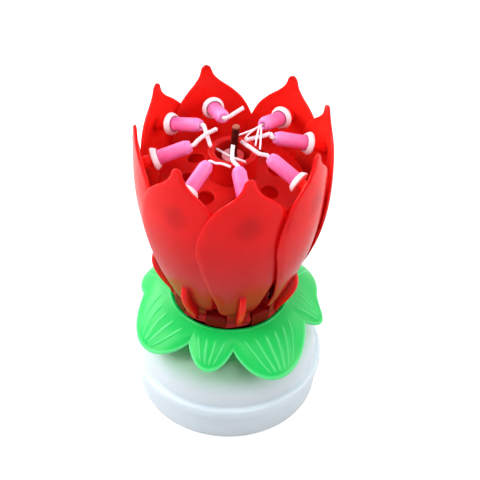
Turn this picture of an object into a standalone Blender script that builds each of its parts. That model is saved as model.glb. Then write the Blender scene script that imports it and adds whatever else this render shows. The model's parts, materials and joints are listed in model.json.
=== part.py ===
"""Musical birthday candle: a lotus bud of eight hinged petals over a leafy calyx and a round base.

Each petal carries a small candle. A thread holds a sprung plunger down until the sparkler burns it through,
and the plunger then rises and opens the petals. The base holds the button cells, the tune circuit and its
switch. Metres, +Z up, origin at the middle of the underside, front towards -Y. An azimuth runs from the front
towards +X.
"""

from math import cos, pi, radians, sin

import bmesh
import bpy
from mathutils import Matrix, Vector

# Clearances
GAP = 0.0003
OVERRUN = 0.0010

# Base shell and bottom plate
FOOT_R = 0.0270
LIP_REACH = 0.0014
LIP_LEDGE = 0.0017
LIP_LOW_Z = 0.0088
LIP_TOP_Z = 0.0128
LIP_ROUND = 0.0008
DOME_TOP_R = 0.0145
DOME_TOP_Z = 0.0260
BASE_WALL = 0.0015
PLATE_T = 0.0020
DOME_POINTS = 6
BASE_STEPS = 32

# Screws that hold the plate to the shell
BASE_SCREW_COUNT = 2
BASE_SCREW_INSET = 0.0060
BASE_SCREW_R = 0.0010
BASE_SCREW_LENGTH = 0.0080
BASE_SCREW_HEAD_R = 0.0019
BASE_SCREW_HEAD_T = 0.0008
BASE_BOSS_R = 0.0024
BASE_BOSS_TOP_Z = 0.0215

# Button cells, their holder and contacts
CELL_R = 0.0058
CELL_T = 0.0054
CELL_COUNT = 2
HOLDER_Y = -0.0128
HOLDER_WALL = 0.0010
STRIP_T = 0.00025
STRIP_W = 0.0030
STRIP_X = 0.0030
STRIP_REACH = 0.0075
STRIP_DROP = 0.0048

# Sounder under the middle
PIEZO_R = 0.0060
PIEZO_T = 0.0003
PIEZO_Y = 0.0009
CERAMIC_R = 0.0042
CERAMIC_T = 0.0003
PIEZO_RING_T = 0.0012
PIEZO_RING_HIGH = 0.0009
SOUND_HOLE_COUNT = 6
SOUND_HOLE_R = 0.0007
SOUND_HOLE_RING_R = 0.0034

# Circuit board and chip
BOARD_W = 0.0220
BOARD_D = 0.0100
BOARD_T = 0.0012
BOARD_Y = 0.0125
BOARD_Z = 0.0050
BOARD_POST_R = 0.0016
BOARD_POST_X = 0.0092
BOARD_PIN_R = 0.0006
BOARD_PIN_HIGH = 0.0005
CHIP_R = 0.0030
CHIP_T = 0.0014
WIRE_R = 0.0005

# Petal bud, measured on its outer face: petals are widest at BUD_WIDE_Z
PETAL_COUNT = 8
FIRST_PETAL_AZIMUTH = 10.7
PIVOT_Z = 0.0380
PIVOT_INSET = 0.0023
BUD_R = 0.0268
BUD_WIDE_Z = 0.0810
TIP_Z = 0.0974
PETAL_T = 0.0009
PETAL_GAP = 0.0005
CROWN_SHARE = 0.1
# How far each petal's tip leans along the rim, in degrees, from the front petal round to the left
TIP_LEANS = (-0.9, -0.9, 5.7, -3.3, 8.9, 1.3, -1.0, 0.4)
PETAL_HALF_W = 0.0137
NECK_LENGTH = 0.0028
# Height above the neck, and half width, each as a share of the whole
PETAL_OUTLINE_SHARES = (
    (0.025, 0.41),
    (0.13, 0.52),
    (0.25, 0.69),
    (0.42, 0.89),
    (0.56, 1.00),
    (0.63, 0.975),
    (0.72, 0.87),
    (0.79, 0.73),
    (0.85, 0.51),
    (0.90, 0.28),
    (0.94, 0.16),
    (1.00, 0.085),
)
PETAL_COLUMNS = 6

# Keel down the outside of each petal, and its tail lever inside
KEEL_T = 0.0015
KEEL_DEEP = 0.0022
KEEL_TOP_Z = 0.0530
KEEL_POINTS = 4
BARREL_R = 0.0013
TRUNNION_R = 0.0007
TRUNNION_L = 0.0010
TAIL_L = 0.0045
TAIL_HALF_T = 0.0008
TAIL_W = 0.0030
TAIL_DROP = 30.0
OPEN_ANGLE = 70.0

# Hub: floor, spring well and the ears that hold the petals
HUB_FLOOR_T = 0.0012
WELL_R = 0.0088
WELL_WALL = 0.0012
WELL_FLOOR_Z = 0.0230
EAR_T = 0.0024
EAR_HALF_W = 0.00135
EAR_STEM_INSET = 0.0020
EAR_HEAD_INSET = 0.0002
EAR_HEAD_LOW_Z = 0.0358
EAR_TOP_Z = 0.0398
EAR_CHAMFER = 0.0009
HUB_SCREW_PETALS = (2, 6)
HUB_SCREW_R = 0.0009
HUB_SCREW_HEAD_R = 0.0017
HUB_SCREW_HEAD_T = 0.0010
HUB_BOSS_R = 0.0019
HUB_BOSS_TOP_Z = 0.0326
HUB_SCREW_TOP_Z = 0.0316
PEG_R = 0.0006
PEG_X = 0.0070
PEG_L = 0.0011

# Calyx: a cup that holds the hub, and a leafy skirt
CALYX_RING_T = 0.0012
CUP_R = 0.0176
CUP_WALL = 0.0012
CUP_FILLET = 0.0012
RIM_Z = 0.0352
SKIRT_SLOPE = 31.0
SKIRT_T = 0.0011
SKIRT_CREST = 0.0010
NOTCH_REACH = 0.0066
LOBE_ROUND_SHARE = 0.70
LEAF_R = 0.0308
# Each leaf lobe's starting azimuth, its reach as a share of LEAF_R, and how far its tip lies to one side
LOBE_SHARES = (
    (-92.3, 0.968, 0.16),
    (-31.4, 0.895, 0.02),
    (5.4, 1.00, -0.20),
    (66.0, 0.924, 0.07),
    (97.2, 0.997, -0.03),
    (168.0, 0.909, 0.0),
    (200.0, 0.961, 0.07),
)
LOBE_STEPS = 8
SKIRT_POINTS = 3

# Deck with the collar, on a column that stands in the hub
DECK_R = 0.0200
DECK_EDGE_Z = 0.0773
DECK_T = 0.0013
DECK_RISE = 0.0023
COLLAR_R = 0.0068
COLLAR_WALL = 0.0019
COLLAR_TOP_Z = 0.0868
COLLAR_FLOOR_Z = 0.0805
COLUMN_R = 0.0052
COLUMN_LOW_Z = 0.0420
LEG_COUNT = 4
LEG_T = 0.0016
LEG_W = 0.0020
DECK_HOLE_R = 0.0024
DECK_HOLE_RING_R = 0.0124

# Plunger, spring and switch
SHAFT_R = 0.0030
SHAFT_TOP_Z = 0.0853
FLANGE_INSET = 0.0035
FLANGE_T = 0.0012
SPINDLE_R = 0.0016
RIVET_R = 0.0022
RIVET_T = 0.0008
WASHER_R = 0.0050
WASHER_T = 0.0004
BLADE_T = 0.0003
BLADE_W = 0.0030
BLADE_INNER_X = 0.0036
BLADE_OUTER_X = 0.0092
SPRING_R = 0.0063
SPRING_WIRE_R = 0.0004
SPRING_TURNS = 5
TURN_POINTS = 8

# Sparkler and release thread
STICK_R = 0.0010
STICK_TOP_Z = 0.0950
STICK_SOCKET = 0.0120
THREAD_R = 0.00035
THREAD_OFFSET = 0.00175
THREAD_HALF_L = 0.0058
THREAD_AZIMUTH = -40.8

# Candles: each stands square to its petal's upper part, in a cup on a stem
CANDLE_TILT = 90.0 - OPEN_ANGLE
CANDLE_SEAT_Z = 0.0842
CUP_STEM_R = 0.0012
CUP_STEM_START = 0.0008
CUP_STEM_L = 0.0038
CUP_DISC_R = 0.0032
CUP_DISC_T = 0.0016
CUP_EDGE = 0.0008
CUP_RECESS = 0.0008
CANDLE_R = 0.0020
CANDLE_L = 0.0097
WICK_HOLE_DEEP = 0.0015
WICK_NECK = 0.0009
WICK_R = 0.00058
THIN_WICK_R = 0.00035
# Sideways swing of each candle on its petal, in degrees
CANDLE_SWINGS = (2.0, -1.4, 1.2, 4.5, 2.0, 3.5, -0.5, 1.0)
WICK_REACH = 0.0100
# Each wick's bends from its candle's end, in shares of WICK_REACH: to the right from outside, inwards and up
WICK_SHARES = (
    ((-0.10, 0.28, 0.07), (-0.08, 0.52, 0.10), (-0.01, 0.82, 0.14)),
    ((-0.05, 0.29, 0.02), (0.05, 0.62, -0.01), (0.17, 1.02, -0.04)),
    ((0.10, 0.10, 0.07), (-0.03, 0.36, 0.11), (-0.19, 0.83, 0.16)),
    ((0.03, 0.34, 0.01), (0.16, 0.50, -0.02), (0.26, 0.72, -0.04)),
    ((-0.16, 0.07, 0.09), (-0.34, -0.04, 0.12), (-0.57, -0.21, 0.13)),
    ((0.15, 0.26, 0.02), (0.32, 0.46, -0.01), (0.56, 0.73, -0.03)),
    ((-0.09, 0.21, 0.10), (-0.24, 0.45, 0.17), (-0.38, 0.75, 0.21)),
    ((0.20, 0.06, 0.07), (0.38, 0.09, 0.12), (0.67, 0.06, 0.18)),
)
THIN_WICK_PETAL = 7

# Places that follow from the sizes above
LIP_R = FOOT_R + LIP_REACH
DOME_R = LIP_R - LIP_LEDGE
BASE_SCREW_RING_R = FOOT_R - BASE_SCREW_INSET
DOME_HOLE_R = WELL_R + GAP
DOME_INNER_Z = DOME_TOP_Z - BASE_WALL
PLATE_R = FOOT_R - BASE_WALL - GAP
ABOVE_PLATE_Z = PLATE_T + GAP
HOLDER_HALF = CELL_R + GAP + HOLDER_WALL
HOLDER_BACK_Y = HOLDER_Y + HOLDER_HALF
CELL_Z = ABOVE_PLATE_Z + HOLDER_WALL + 2 * GAP + STRIP_T
CELLS_TOP_Z = CELL_Z + CELL_COUNT * (CELL_T + GAP) - GAP
BOARD_TOP_Z = BOARD_Z + BOARD_T
CALYX_Z = DOME_TOP_Z + GAP
HUB_Z = CALYX_Z + CALYX_RING_T + GAP
HUB_TOP_Z = HUB_Z + HUB_FLOOR_T
HUB_R = CUP_R - CUP_WALL - GAP
HUB_SCREW_RING_R = (WELL_R + HUB_R) / 2
NOTCH_R = CUP_R + NOTCH_REACH
PIVOT_R = CUP_R - PIVOT_INSET
FLANGE_R = PIVOT_R - FLANGE_INSET
EAR_STEM_R = CUP_R - EAR_STEM_INSET
EAR_HEAD_R = CUP_R - EAR_HEAD_INSET
EAR_INNER_R = EAR_STEM_R - EAR_T
WELL_TOP_Z = WELL_FLOOR_Z + HUB_FLOOR_T
HALF_PITCH = pi / PETAL_COUNT
EAR_SIDE = EAR_INNER_R * sin(HALF_PITCH) - EAR_HALF_W * cos(HALF_PITCH)
BARREL_HALF_L = EAR_SIDE - GAP
OUTLINE_SHARES = ((0.0, BARREL_HALF_L / PETAL_HALF_W), *PETAL_OUTLINE_SHARES)
TAIL_END_Z = PIVOT_Z - TAIL_L * sin(radians(TAIL_DROP))
FLANGE_TOP_Z = TAIL_END_Z - TAIL_HALF_T - GAP
FLANGE_LOW_Z = FLANGE_TOP_Z - FLANGE_T
TRAVEL = TAIL_L * (sin(radians(TAIL_DROP)) + sin(radians(OPEN_ANGLE - TAIL_DROP)))
BLADE_Z = WELL_FLOOR_Z - GAP - BLADE_T
WASHER_Z = BLADE_Z - GAP - TRAVEL - WASHER_T
SHOULDER_Z = WASHER_Z + WASHER_T + GAP
RIVET_TOP_Z = WASHER_Z - GAP
BORE_R = SHAFT_R + GAP
SLOT_OUT_R = COLUMN_R + GAP
SLOT_W = LEG_W + 2 * GAP
SOCKET_R = STICK_R + GAP
SOCKET_Z = SHAFT_TOP_Z - STICK_SOCKET
THREAD_Z = SHAFT_TOP_Z + GAP + THREAD_R
BACK = Vector((0, 1, 0))
RIGHT = Vector((1, 0, 0))
UP = Vector((0, 0, 1))


def material(name, colour, roughness, metallic=0.0, alpha=1.0):
    """A Principled material; the colour is linear red, green and blue."""
    made = bpy.data.materials.new(name)
    made.use_nodes = True
    shader = made.node_tree.nodes["Principled BSDF"]
    shader.inputs["Base Color"].default_value = (*colour, 1.0)
    shader.inputs["Roughness"].default_value = roughness
    shader.inputs["Metallic"].default_value = metallic
    shader.inputs["Alpha"].default_value = alpha
    made.diffuse_color = (*colour, alpha)
    return made


def piece(name, shape, finish=None):
    """An object from a bmesh, with its faces turned outwards and its round stretches smooth."""
    bmesh.ops.recalc_face_normals(shape, faces=shape.faces)
    mesh = bpy.data.meshes.new(name)
    shape.to_mesh(mesh)
    shape.free()
    mesh.shade_smooth()
    mesh.set_sharp_from_angle(angle=radians(40))
    if finish:
        mesh.materials.append(finish)
    made = bpy.data.objects.new(name, mesh)
    bpy.context.scene.collection.objects.link(made)
    return made


def turned(outline, steps, axis=UP):
    """A bmesh turned about an axis through the origin; an outline point is a radius and a place along it."""
    shape = bmesh.new()
    side = RIGHT if axis is UP else UP
    corners = [shape.verts.new(side * r + axis * along) for r, along in outline]
    edges = [shape.edges.new(pair) for pair in zip(corners, corners[1:] + corners[:1])]
    bmesh.ops.spin(
        shape, geom=corners + edges, cent=(0, 0, 0), axis=axis, angle=2 * pi, steps=steps, use_merge=True
    )
    bmesh.ops.remove_doubles(shape, verts=shape.verts, dist=GAP / 100)
    on_axis = [edge for edge in shape.edges if not edge.link_faces]
    bmesh.ops.delete(shape, geom=on_axis, context="EDGES")
    return shape


def extruded(outline, depth):
    """A bmesh with the outline's points, which lie in one plane, carried along the depth vector."""
    shape = bmesh.new()
    face = shape.faces.new([shape.verts.new(point) for point in outline])
    moved = bmesh.ops.extrude_face_region(shape, geom=[face])["geom"]
    bmesh.ops.translate(shape, verts=[v for v in moved if isinstance(v, bmesh.types.BMVert)], vec=depth)
    return shape


def block(low, high):
    """A box between two corners."""
    (x0, y0, z0), (x1, y1, z1) = low, high
    return extruded([(x0, y0, z0), (x1, y0, z0), (x1, y1, z0), (x0, y1, z0)], (0, 0, z1 - z0))


def rod(radius, low, high, x=0.0, y=0.0, sides=16):
    """An upright cylinder."""
    shape = turned([(0, low), (radius, low), (radius, high), (0, high)], sides)
    bmesh.ops.translate(shape, verts=shape.verts, vec=(x, y, 0))
    return shape


def gathered(shapes):
    """Several bmeshes that do not touch, as one."""
    whole = bmesh.new()
    for shape in shapes:
        mesh = bpy.data.meshes.new("loose")
        shape.to_mesh(mesh)
        shape.free()
        whole.from_mesh(mesh)
        bpy.data.meshes.remove(mesh)
    return whole


def combine(body, shape, how):
    """Joins a closed bmesh to an object, or cuts it out of it."""
    tool = piece("tool", shape)
    step = body.modifiers.new(how, "BOOLEAN")
    step.operation = how
    step.object = tool
    bpy.context.view_layer.update()
    done = bpy.data.meshes.new_from_object(body.evaluated_get(bpy.context.evaluated_depsgraph_get()))
    body.modifiers.clear()
    body.data = done
    bpy.data.objects.remove(tool)
    done.shade_smooth()
    done.set_sharp_from_angle(angle=radians(40))


def smooth_path(points, per_leg):
    """Points of a smooth curve that passes through the given ones."""
    ends = [2 * points[0] - points[1], *points, 2 * points[-1] - points[-2]]
    path = []
    for a, b, c, d in zip(ends, ends[1:], ends[2:], ends[3:]):
        for step in range(per_leg):
            t = step / per_leg
            square = a - b * 2.5 + c * 2 - d / 2
            cube = (b - c) * 1.5 + (d - a) / 2
            path.append(b + (c - a) * (t / 2) + square * t**2 + cube * t**3)
    return path + [points[-1]]


def tube(name, points, radius, finish, per_leg=3):
    """A round tube along a smooth path through the points."""
    line = bpy.data.curves.new(name, "CURVE")
    line.dimensions = "3D"
    line.bevel_depth = radius
    line.bevel_resolution = 1
    line.use_fill_caps = True
    path = smooth_path([Vector(p) for p in points], per_leg)
    spline = line.splines.new("POLY")
    spline.points.add(len(path) - 1)
    for knot, place in zip(spline.points, path):
        knot.co = (*place, 1.0)
    line.materials.append(finish)
    made = bpy.data.objects.new(name, line)
    bpy.context.scene.collection.objects.link(made)
    return made


def around(radius, azimuth, z=0.0):
    """The place at a radius and an azimuth in degrees."""
    return Vector((radius * sin(radians(azimuth)), -radius * cos(radians(azimuth)), z))


def arc(start, end, count):
    """Angles in radians, evenly from start to end in degrees, both included."""
    return [radians(start + (end - start) * n / (count - 1)) for n in range(count)]


def petal_azimuth(index):
    """The azimuth of a petal's hinge, in degrees."""
    return FIRST_PETAL_AZIMUTH + index * 360 / PETAL_COUNT


def bud_radius(z):
    """The outer face of the bud, a parabola that is widest at BUD_WIDE_Z."""
    share = (BUD_WIDE_Z - z) / (BUD_WIDE_Z - PIVOT_Z)
    return BUD_R - (BUD_R - PIVOT_R) * share**2 * (CROWN_SHARE if share < 0 else 1)


def base_screw_places():
    return [around(BASE_SCREW_RING_R, 90 + n * 360 / BASE_SCREW_COUNT) for n in range(BASE_SCREW_COUNT)]


def hub_screw_places():
    return [around(HUB_SCREW_RING_R, petal_azimuth(n)) for n in HUB_SCREW_PETALS]


def base_shell():
    """Milky round shell: skirt, lip and dome, with screw bosses inside."""
    reach, rise = DOME_R - DOME_TOP_R, DOME_TOP_Z - LIP_TOP_Z
    angles = arc(0, 90, DOME_POINTS)
    outer = [(DOME_TOP_R + reach * cos(a), LIP_TOP_Z + rise * sin(a)) for a in angles]
    reach, rise = reach - BASE_WALL, rise - BASE_WALL
    inner = [(DOME_TOP_R + reach * cos(a), LIP_TOP_Z + rise * sin(a)) for a in reversed(angles)]
    outline = [
        (FOOT_R, 0),
        (LIP_R - LIP_ROUND / 2, LIP_LOW_Z),
        (LIP_R, LIP_LOW_Z + LIP_ROUND),
        (LIP_R, LIP_TOP_Z - LIP_ROUND),
        (LIP_R - LIP_ROUND, LIP_TOP_Z),
        *outer,
        (DOME_HOLE_R, DOME_TOP_Z),
        (DOME_HOLE_R, DOME_INNER_Z),
        *inner,
        (FOOT_R - BASE_WALL, 0),
    ]
    body = piece("base_shell", turned(outline, BASE_STEPS), MILKY)
    places = base_screw_places()
    bosses = [rod(BASE_BOSS_R, ABOVE_PLATE_Z, BASE_BOSS_TOP_Z, p.x, p.y, 12) for p in places]
    combine(body, gathered(bosses), "UNION")
    bore = BASE_SCREW_R + GAP
    depth = BASE_SCREW_LENGTH + OVERRUN
    combine(body, gathered(rod(bore, 0, depth, p.x, p.y, 10) for p in places), "DIFFERENCE")
    hole, low, high = HUB_SCREW_R + GAP, DOME_INNER_Z - OVERRUN, DOME_TOP_Z + OVERRUN
    combine(body, gathered(rod(hole, low, high, p.x, p.y, 10) for p in hub_screw_places()), "DIFFERENCE")


def bottom_plate():
    """Flat plate that closes the shell, with the sounder's ring, sound holes and the board's posts."""
    body = piece("bottom_plate", rod(PLATE_R, 0, PLATE_T, sides=BASE_STEPS), MILKY)
    ring_r = PIEZO_R
    ring = turned(
        [
            (ring_r - PIEZO_RING_T, PLATE_T / 2),
            (ring_r, PLATE_T / 2),
            (ring_r, PLATE_T + PIEZO_RING_HIGH),
            (ring_r - PIEZO_RING_T, PLATE_T + PIEZO_RING_HIGH),
        ],
        20,
    )
    bmesh.ops.translate(ring, verts=ring.verts, vec=(0, PIEZO_Y, 0))
    posts = [board_post(x) for x in (-BOARD_POST_X, BOARD_POST_X)]
    combine(body, gathered([ring, *posts]), "UNION")
    cutters = []
    for place in base_screw_places():
        cutters.append(
            turned(
                [
                    (0, -OVERRUN),
                    (BASE_SCREW_HEAD_R + GAP, -OVERRUN),
                    (BASE_SCREW_HEAD_R + GAP, BASE_SCREW_HEAD_T + 2 * GAP),
                    (BASE_SCREW_R + GAP, BASE_SCREW_HEAD_T + 2 * GAP),
                    (BASE_SCREW_R + GAP, PLATE_T + OVERRUN),
                    (0, PLATE_T + OVERRUN),
                ],
                12,
            )
        )
        bmesh.ops.translate(cutters[-1], verts=cutters[-1].verts, vec=place)
    for n in range(SOUND_HOLE_COUNT):
        spot = around(SOUND_HOLE_RING_R, n * 360 / SOUND_HOLE_COUNT)
        cutters.append(rod(SOUND_HOLE_R, -OVERRUN, PLATE_T + OVERRUN, spot.x, spot.y + PIEZO_Y, 6))
    combine(body, gathered(cutters), "DIFFERENCE")


def board_post(x):
    """Post that the board rests on, with the pin that passes through the board."""
    outline = [
        (0, PLATE_T / 2),
        (BOARD_POST_R, PLATE_T / 2),
        (BOARD_POST_R, BOARD_Z - GAP),
        (BOARD_PIN_R, BOARD_Z - GAP),
        (BOARD_PIN_R, BOARD_TOP_Z + BOARD_PIN_HIGH),
        (0, BOARD_TOP_Z + BOARD_PIN_HIGH),
    ]
    shape = turned(outline, 12)
    bmesh.ops.translate(shape, verts=shape.verts, vec=(x, BOARD_Y, 0))
    return shape


def screws(name, places, radius, low, high, head_r, head_t):
    """Upright screws with their heads at the low end, one object each."""
    head_z = low - head_t
    outline = [(0, head_z), (head_r, head_z), (head_r, low), (radius, low), (radius, high), (0, high)]
    for n, place in enumerate(places):
        shape = turned(outline, 12)
        bmesh.ops.translate(shape, verts=shape.verts, vec=place)
        piece(f"{name}_{n + 1}", shape, STEEL)


def fasteners():
    """The screws that hold the plate to the shell, and the shell and calyx to the hub."""
    low = GAP + BASE_SCREW_HEAD_T
    head = (BASE_SCREW_HEAD_R, BASE_SCREW_HEAD_T)
    screws("base_screw", base_screw_places(), BASE_SCREW_R, low, BASE_SCREW_LENGTH, *head)
    low = DOME_INNER_Z - GAP
    head = (HUB_SCREW_HEAD_R, HUB_SCREW_HEAD_T)
    screws("hub_screw", hub_screw_places(), HUB_SCREW_R, low, HUB_SCREW_TOP_Z, *head)


def batteries():
    """Tray with a stack of two button cells, and the contact strips under and over them."""
    low, floor = ABOVE_PLATE_Z, ABOVE_PLATE_Z + HOLDER_WALL
    tray = piece(
        "battery_holder",
        block((-HOLDER_HALF, HOLDER_Y - HOLDER_HALF, low), (HOLDER_HALF, HOLDER_BACK_Y, CELLS_TOP_Z)),
        BLACK_PLASTIC,
    )
    combine(tray, rod(CELL_R + GAP, floor, CELLS_TOP_Z + OVERRUN, 0, HOLDER_Y, 24), "DIFFERENCE")
    slot_x = STRIP_W / 2 + GAP
    slot_end = (-STRIP_X + slot_x, HOLDER_BACK_Y + OVERRUN, CELL_Z + GAP)
    slot = block((-STRIP_X - slot_x, HOLDER_Y, floor), slot_end)
    combine(tray, slot, "DIFFERENCE")
    for n in range(CELL_COUNT):
        z = CELL_Z + n * (CELL_T + GAP)
        piece(f"button_cell_{n + 1}", rod(CELL_R, z, z + CELL_T, 0, HOLDER_Y, 24), CELL_STEEL)
    top, under = CELLS_TOP_Z + GAP, floor + GAP
    contact_strip("battery_contact_top", STRIP_X, top, top + STRIP_T, top - STRIP_DROP)
    contact_strip("battery_contact_bottom", -STRIP_X, under + STRIP_T, under, under + STRIP_DROP)


def contact_strip(name, x, near, far, end):
    """Bent strip: flat on the cells between two heights, then along the tray's back wall to the end."""
    back = HOLDER_BACK_Y + GAP
    bent = [
        (x - STRIP_W / 2, back + STRIP_T, end),
        (x - STRIP_W / 2, back + STRIP_T, far),
        (x - STRIP_W / 2, back - STRIP_REACH, far),
        (x - STRIP_W / 2, back - STRIP_REACH, near),
        (x - STRIP_W / 2, back, near),
        (x - STRIP_W / 2, back, end),
    ]
    piece(name, extruded(bent, (STRIP_W, 0, 0)), BRASS)


def sounder():
    """Thin brass disc on the plate's ring, with its ceramic layer on top."""
    low = PLATE_T + PIEZO_RING_HIGH + GAP
    high = low + PIEZO_T
    top = high + CERAMIC_T
    outline = [(0, low), (PIEZO_R, low), (PIEZO_R, high), (CERAMIC_R, high), (CERAMIC_R, top), (0, top)]
    shape = turned(outline, 24)
    bmesh.ops.translate(shape, verts=shape.verts, vec=(0, PIEZO_Y, 0))
    piece("piezo_sounder", shape, BRASS)
    return top


def circuit():
    """Board on its posts, and the chip under its round blob of resin."""
    near_y, far_y = BOARD_Y - BOARD_D / 2, BOARD_Y + BOARD_D / 2
    outline = block((-BOARD_W / 2, near_y, BOARD_Z), (BOARD_W / 2, far_y, BOARD_TOP_Z))
    board = piece("circuit_board", outline, BOARD_GREEN)
    holes = [
        rod(BOARD_PIN_R + GAP, BOARD_Z - OVERRUN, BOARD_TOP_Z + OVERRUN, x, BOARD_Y, 8)
        for x in (-BOARD_POST_X, BOARD_POST_X)
    ]
    combine(board, gathered(holes), "DIFFERENCE")
    low = BOARD_TOP_Z + GAP
    blob = turned([(CHIP_R * cos(a), low + CHIP_T * sin(a)) for a in arc(0, 90, 4)] + [(0, low)], 16)
    bmesh.ops.translate(blob, verts=blob.verts, vec=(0, BOARD_Y, 0))
    piece("sound_chip", blob, BLACK_PLASTIC)


def wires(ceramic_top):
    """Leads from the cells, switch and sounder; each end stops just short of what it is soldered to."""
    strip_y = HOLDER_BACK_Y + 2 * GAP + STRIP_T
    red_z, black_z = CELLS_TOP_Z - STRIP_DROP / 2, CELL_Z + STRIP_DROP / 2
    pad_z, pad_y = BOARD_TOP_Z + GAP, BOARD_Y - BOARD_D / 3
    blade_x, blade_z = (PEG_X + BLADE_OUTER_X) / 2, BLADE_Z - GAP
    rise = (blade_z - black_z) / 4
    bow = BOARD_D / 5
    red_x = BOARD_W / 3
    red = [
        (STRIP_X, strip_y, red_z),
        (STRIP_X, strip_y + bow / 2, red_z),
        (red_x, 0, red_z),
        (red_x, pad_y - bow, red_z - bow),
        (red_x, pad_y, pad_z + bow),
        (red_x, pad_y, pad_z),
    ]
    black = [
        (-STRIP_X, strip_y, black_z),
        (-STRIP_X, strip_y + bow / 2, black_z),
        (-blade_x - bow, strip_y + bow, black_z + rise),
        (-blade_x - bow, 0, black_z + 2 * rise),
        (-blade_x, 0, blade_z - rise),
        (-blade_x, 0, blade_z),
    ]
    switch = [
        (blade_x, 0, blade_z),
        (blade_x, 0, blade_z - rise / 2),
        (blade_x + bow, bow, blade_z - rise),
        (blade_x - bow, pad_y - bow / 2, blade_z - 2 * rise),
        (CHIP_R, pad_y, pad_z + bow),
        (CHIP_R, pad_y, pad_z),
    ]
    inner = -CERAMIC_R / 2
    lead = [
        (inner, PIEZO_Y, ceramic_top + GAP),
        (inner, PIEZO_Y, ceramic_top + bow),
        (inner - bow, pad_y - bow / 2, pad_z + bow),
        (inner - bow, pad_y, pad_z + bow / 2),
        (inner - bow, pad_y, pad_z),
    ]
    tube("wire_red", red, WIRE_R, RED_VINYL)
    tube("wire_black", black, WIRE_R, BLACK_VINYL)
    tube("wire_switch", switch, WIRE_R, WHITE_VINYL)
    tube("piezo_lead", lead, WIRE_R, WHITE_VINYL)


def leg_boxes(inner_r, outer_r, width, low, high):
    """One box for each leg of the column, at its place round the axis."""
    boxes = []
    for n in range(LEG_COUNT):
        shape = block((inner_r, -width / 2, low), (outer_r, width / 2, high))
        turn = Matrix.Rotation(pi / LEG_COUNT + n * 2 * pi / LEG_COUNT, 3, "Z")
        bmesh.ops.rotate(shape, verts=shape.verts, matrix=turn)
        boxes.append(shape)
    return gathered(boxes)


def ear(mid_azimuth):
    """Wedge between two petals' hinges: its sides are square to the two hinge axes."""
    profile = [
        (EAR_INNER_R, HUB_Z + HUB_FLOOR_T / 2),
        (EAR_STEM_R, HUB_Z + HUB_FLOOR_T / 2),
        (EAR_STEM_R, EAR_HEAD_LOW_Z),
        (EAR_HEAD_R, EAR_HEAD_LOW_Z),
        (EAR_HEAD_R, EAR_TOP_Z - EAR_CHAMFER),
        (EAR_HEAD_R - EAR_CHAMFER, EAR_TOP_Z),
        (EAR_INNER_R, EAR_TOP_Z),
    ]
    turn = Matrix.Rotation(radians(mid_azimuth), 3, "Z")
    shape = bmesh.new()
    sides = []
    for side in (-1, 1):
        half = [side * (r * sin(HALF_PITCH) - EAR_SIDE) / cos(HALF_PITCH) for r, z in profile]
        sides.append([shape.verts.new(turn @ Vector((w, -r, z))) for w, (r, z) in zip(half, profile)])
        shape.faces.new(sides[-1])
    left, right = sides
    for n in range(len(profile)):
        shape.faces.new((left[n - 1], left[n], right[n], right[n - 1]))
    return shape


def hinge_rod(index, radius, half_length):
    """A cylinder along one petal's hinge axis."""
    outline = [(0, -half_length), (radius, -half_length), (radius, half_length), (0, half_length)]
    shape = turned(outline, 10, RIGHT)
    azimuth = petal_azimuth(index)
    bmesh.ops.rotate(shape, verts=shape.verts, matrix=Matrix.Rotation(radians(azimuth), 3, "Z"))
    bmesh.ops.translate(shape, verts=shape.verts, vec=around(PIVOT_R, azimuth, PIVOT_Z))
    return shape


def hub():
    """Red hub: floor, spring well, screw bosses, contact pegs and eight ears with the petals' bearings."""
    well_inner = WELL_R - WELL_WALL
    outline = [
        (BORE_R, WELL_FLOOR_Z),
        (WELL_R, WELL_FLOOR_Z),
        (WELL_R, HUB_Z),
        (HUB_R, HUB_Z),
        (HUB_R, HUB_TOP_Z),
        (well_inner, HUB_TOP_Z),
        (well_inner, WELL_TOP_Z),
        (BORE_R, WELL_TOP_Z),
    ]
    body = piece("hub", turned(outline, 28), RED_PLASTIC)
    mid = 180 / PETAL_COUNT
    parts = [ear(petal_azimuth(n) + mid) for n in range(PETAL_COUNT)]
    low = HUB_Z + HUB_FLOOR_T / 2
    parts += [rod(HUB_BOSS_R, low, HUB_BOSS_TOP_Z, p.x, p.y, 10) for p in hub_screw_places()]
    low, high = WELL_FLOOR_Z - PEG_L, WELL_FLOOR_Z + HUB_FLOOR_T / 2
    parts += [rod(PEG_R, low, high, x, 0, 10) for x in (-PEG_X, PEG_X)]
    combine(body, gathered(parts), "UNION")
    bearings = [hinge_rod(n, TRUNNION_R + GAP, BARREL_HALF_L + TRUNNION_L + GAP) for n in range(PETAL_COUNT)]
    combine(body, gathered(bearings), "DIFFERENCE")
    bore, low, high = HUB_SCREW_R + GAP, HUB_Z - OVERRUN, HUB_SCREW_TOP_Z + GAP
    combine(body, gathered(rod(bore, low, high, p.x, p.y, 10) for p in hub_screw_places()), "DIFFERENCE")
    slots = leg_boxes(BORE_R - GAP, SLOT_OUT_R, SLOT_W, WELL_FLOOR_Z - OVERRUN, WELL_TOP_Z + OVERRUN)
    combine(body, slots, "DIFFERENCE")


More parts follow.
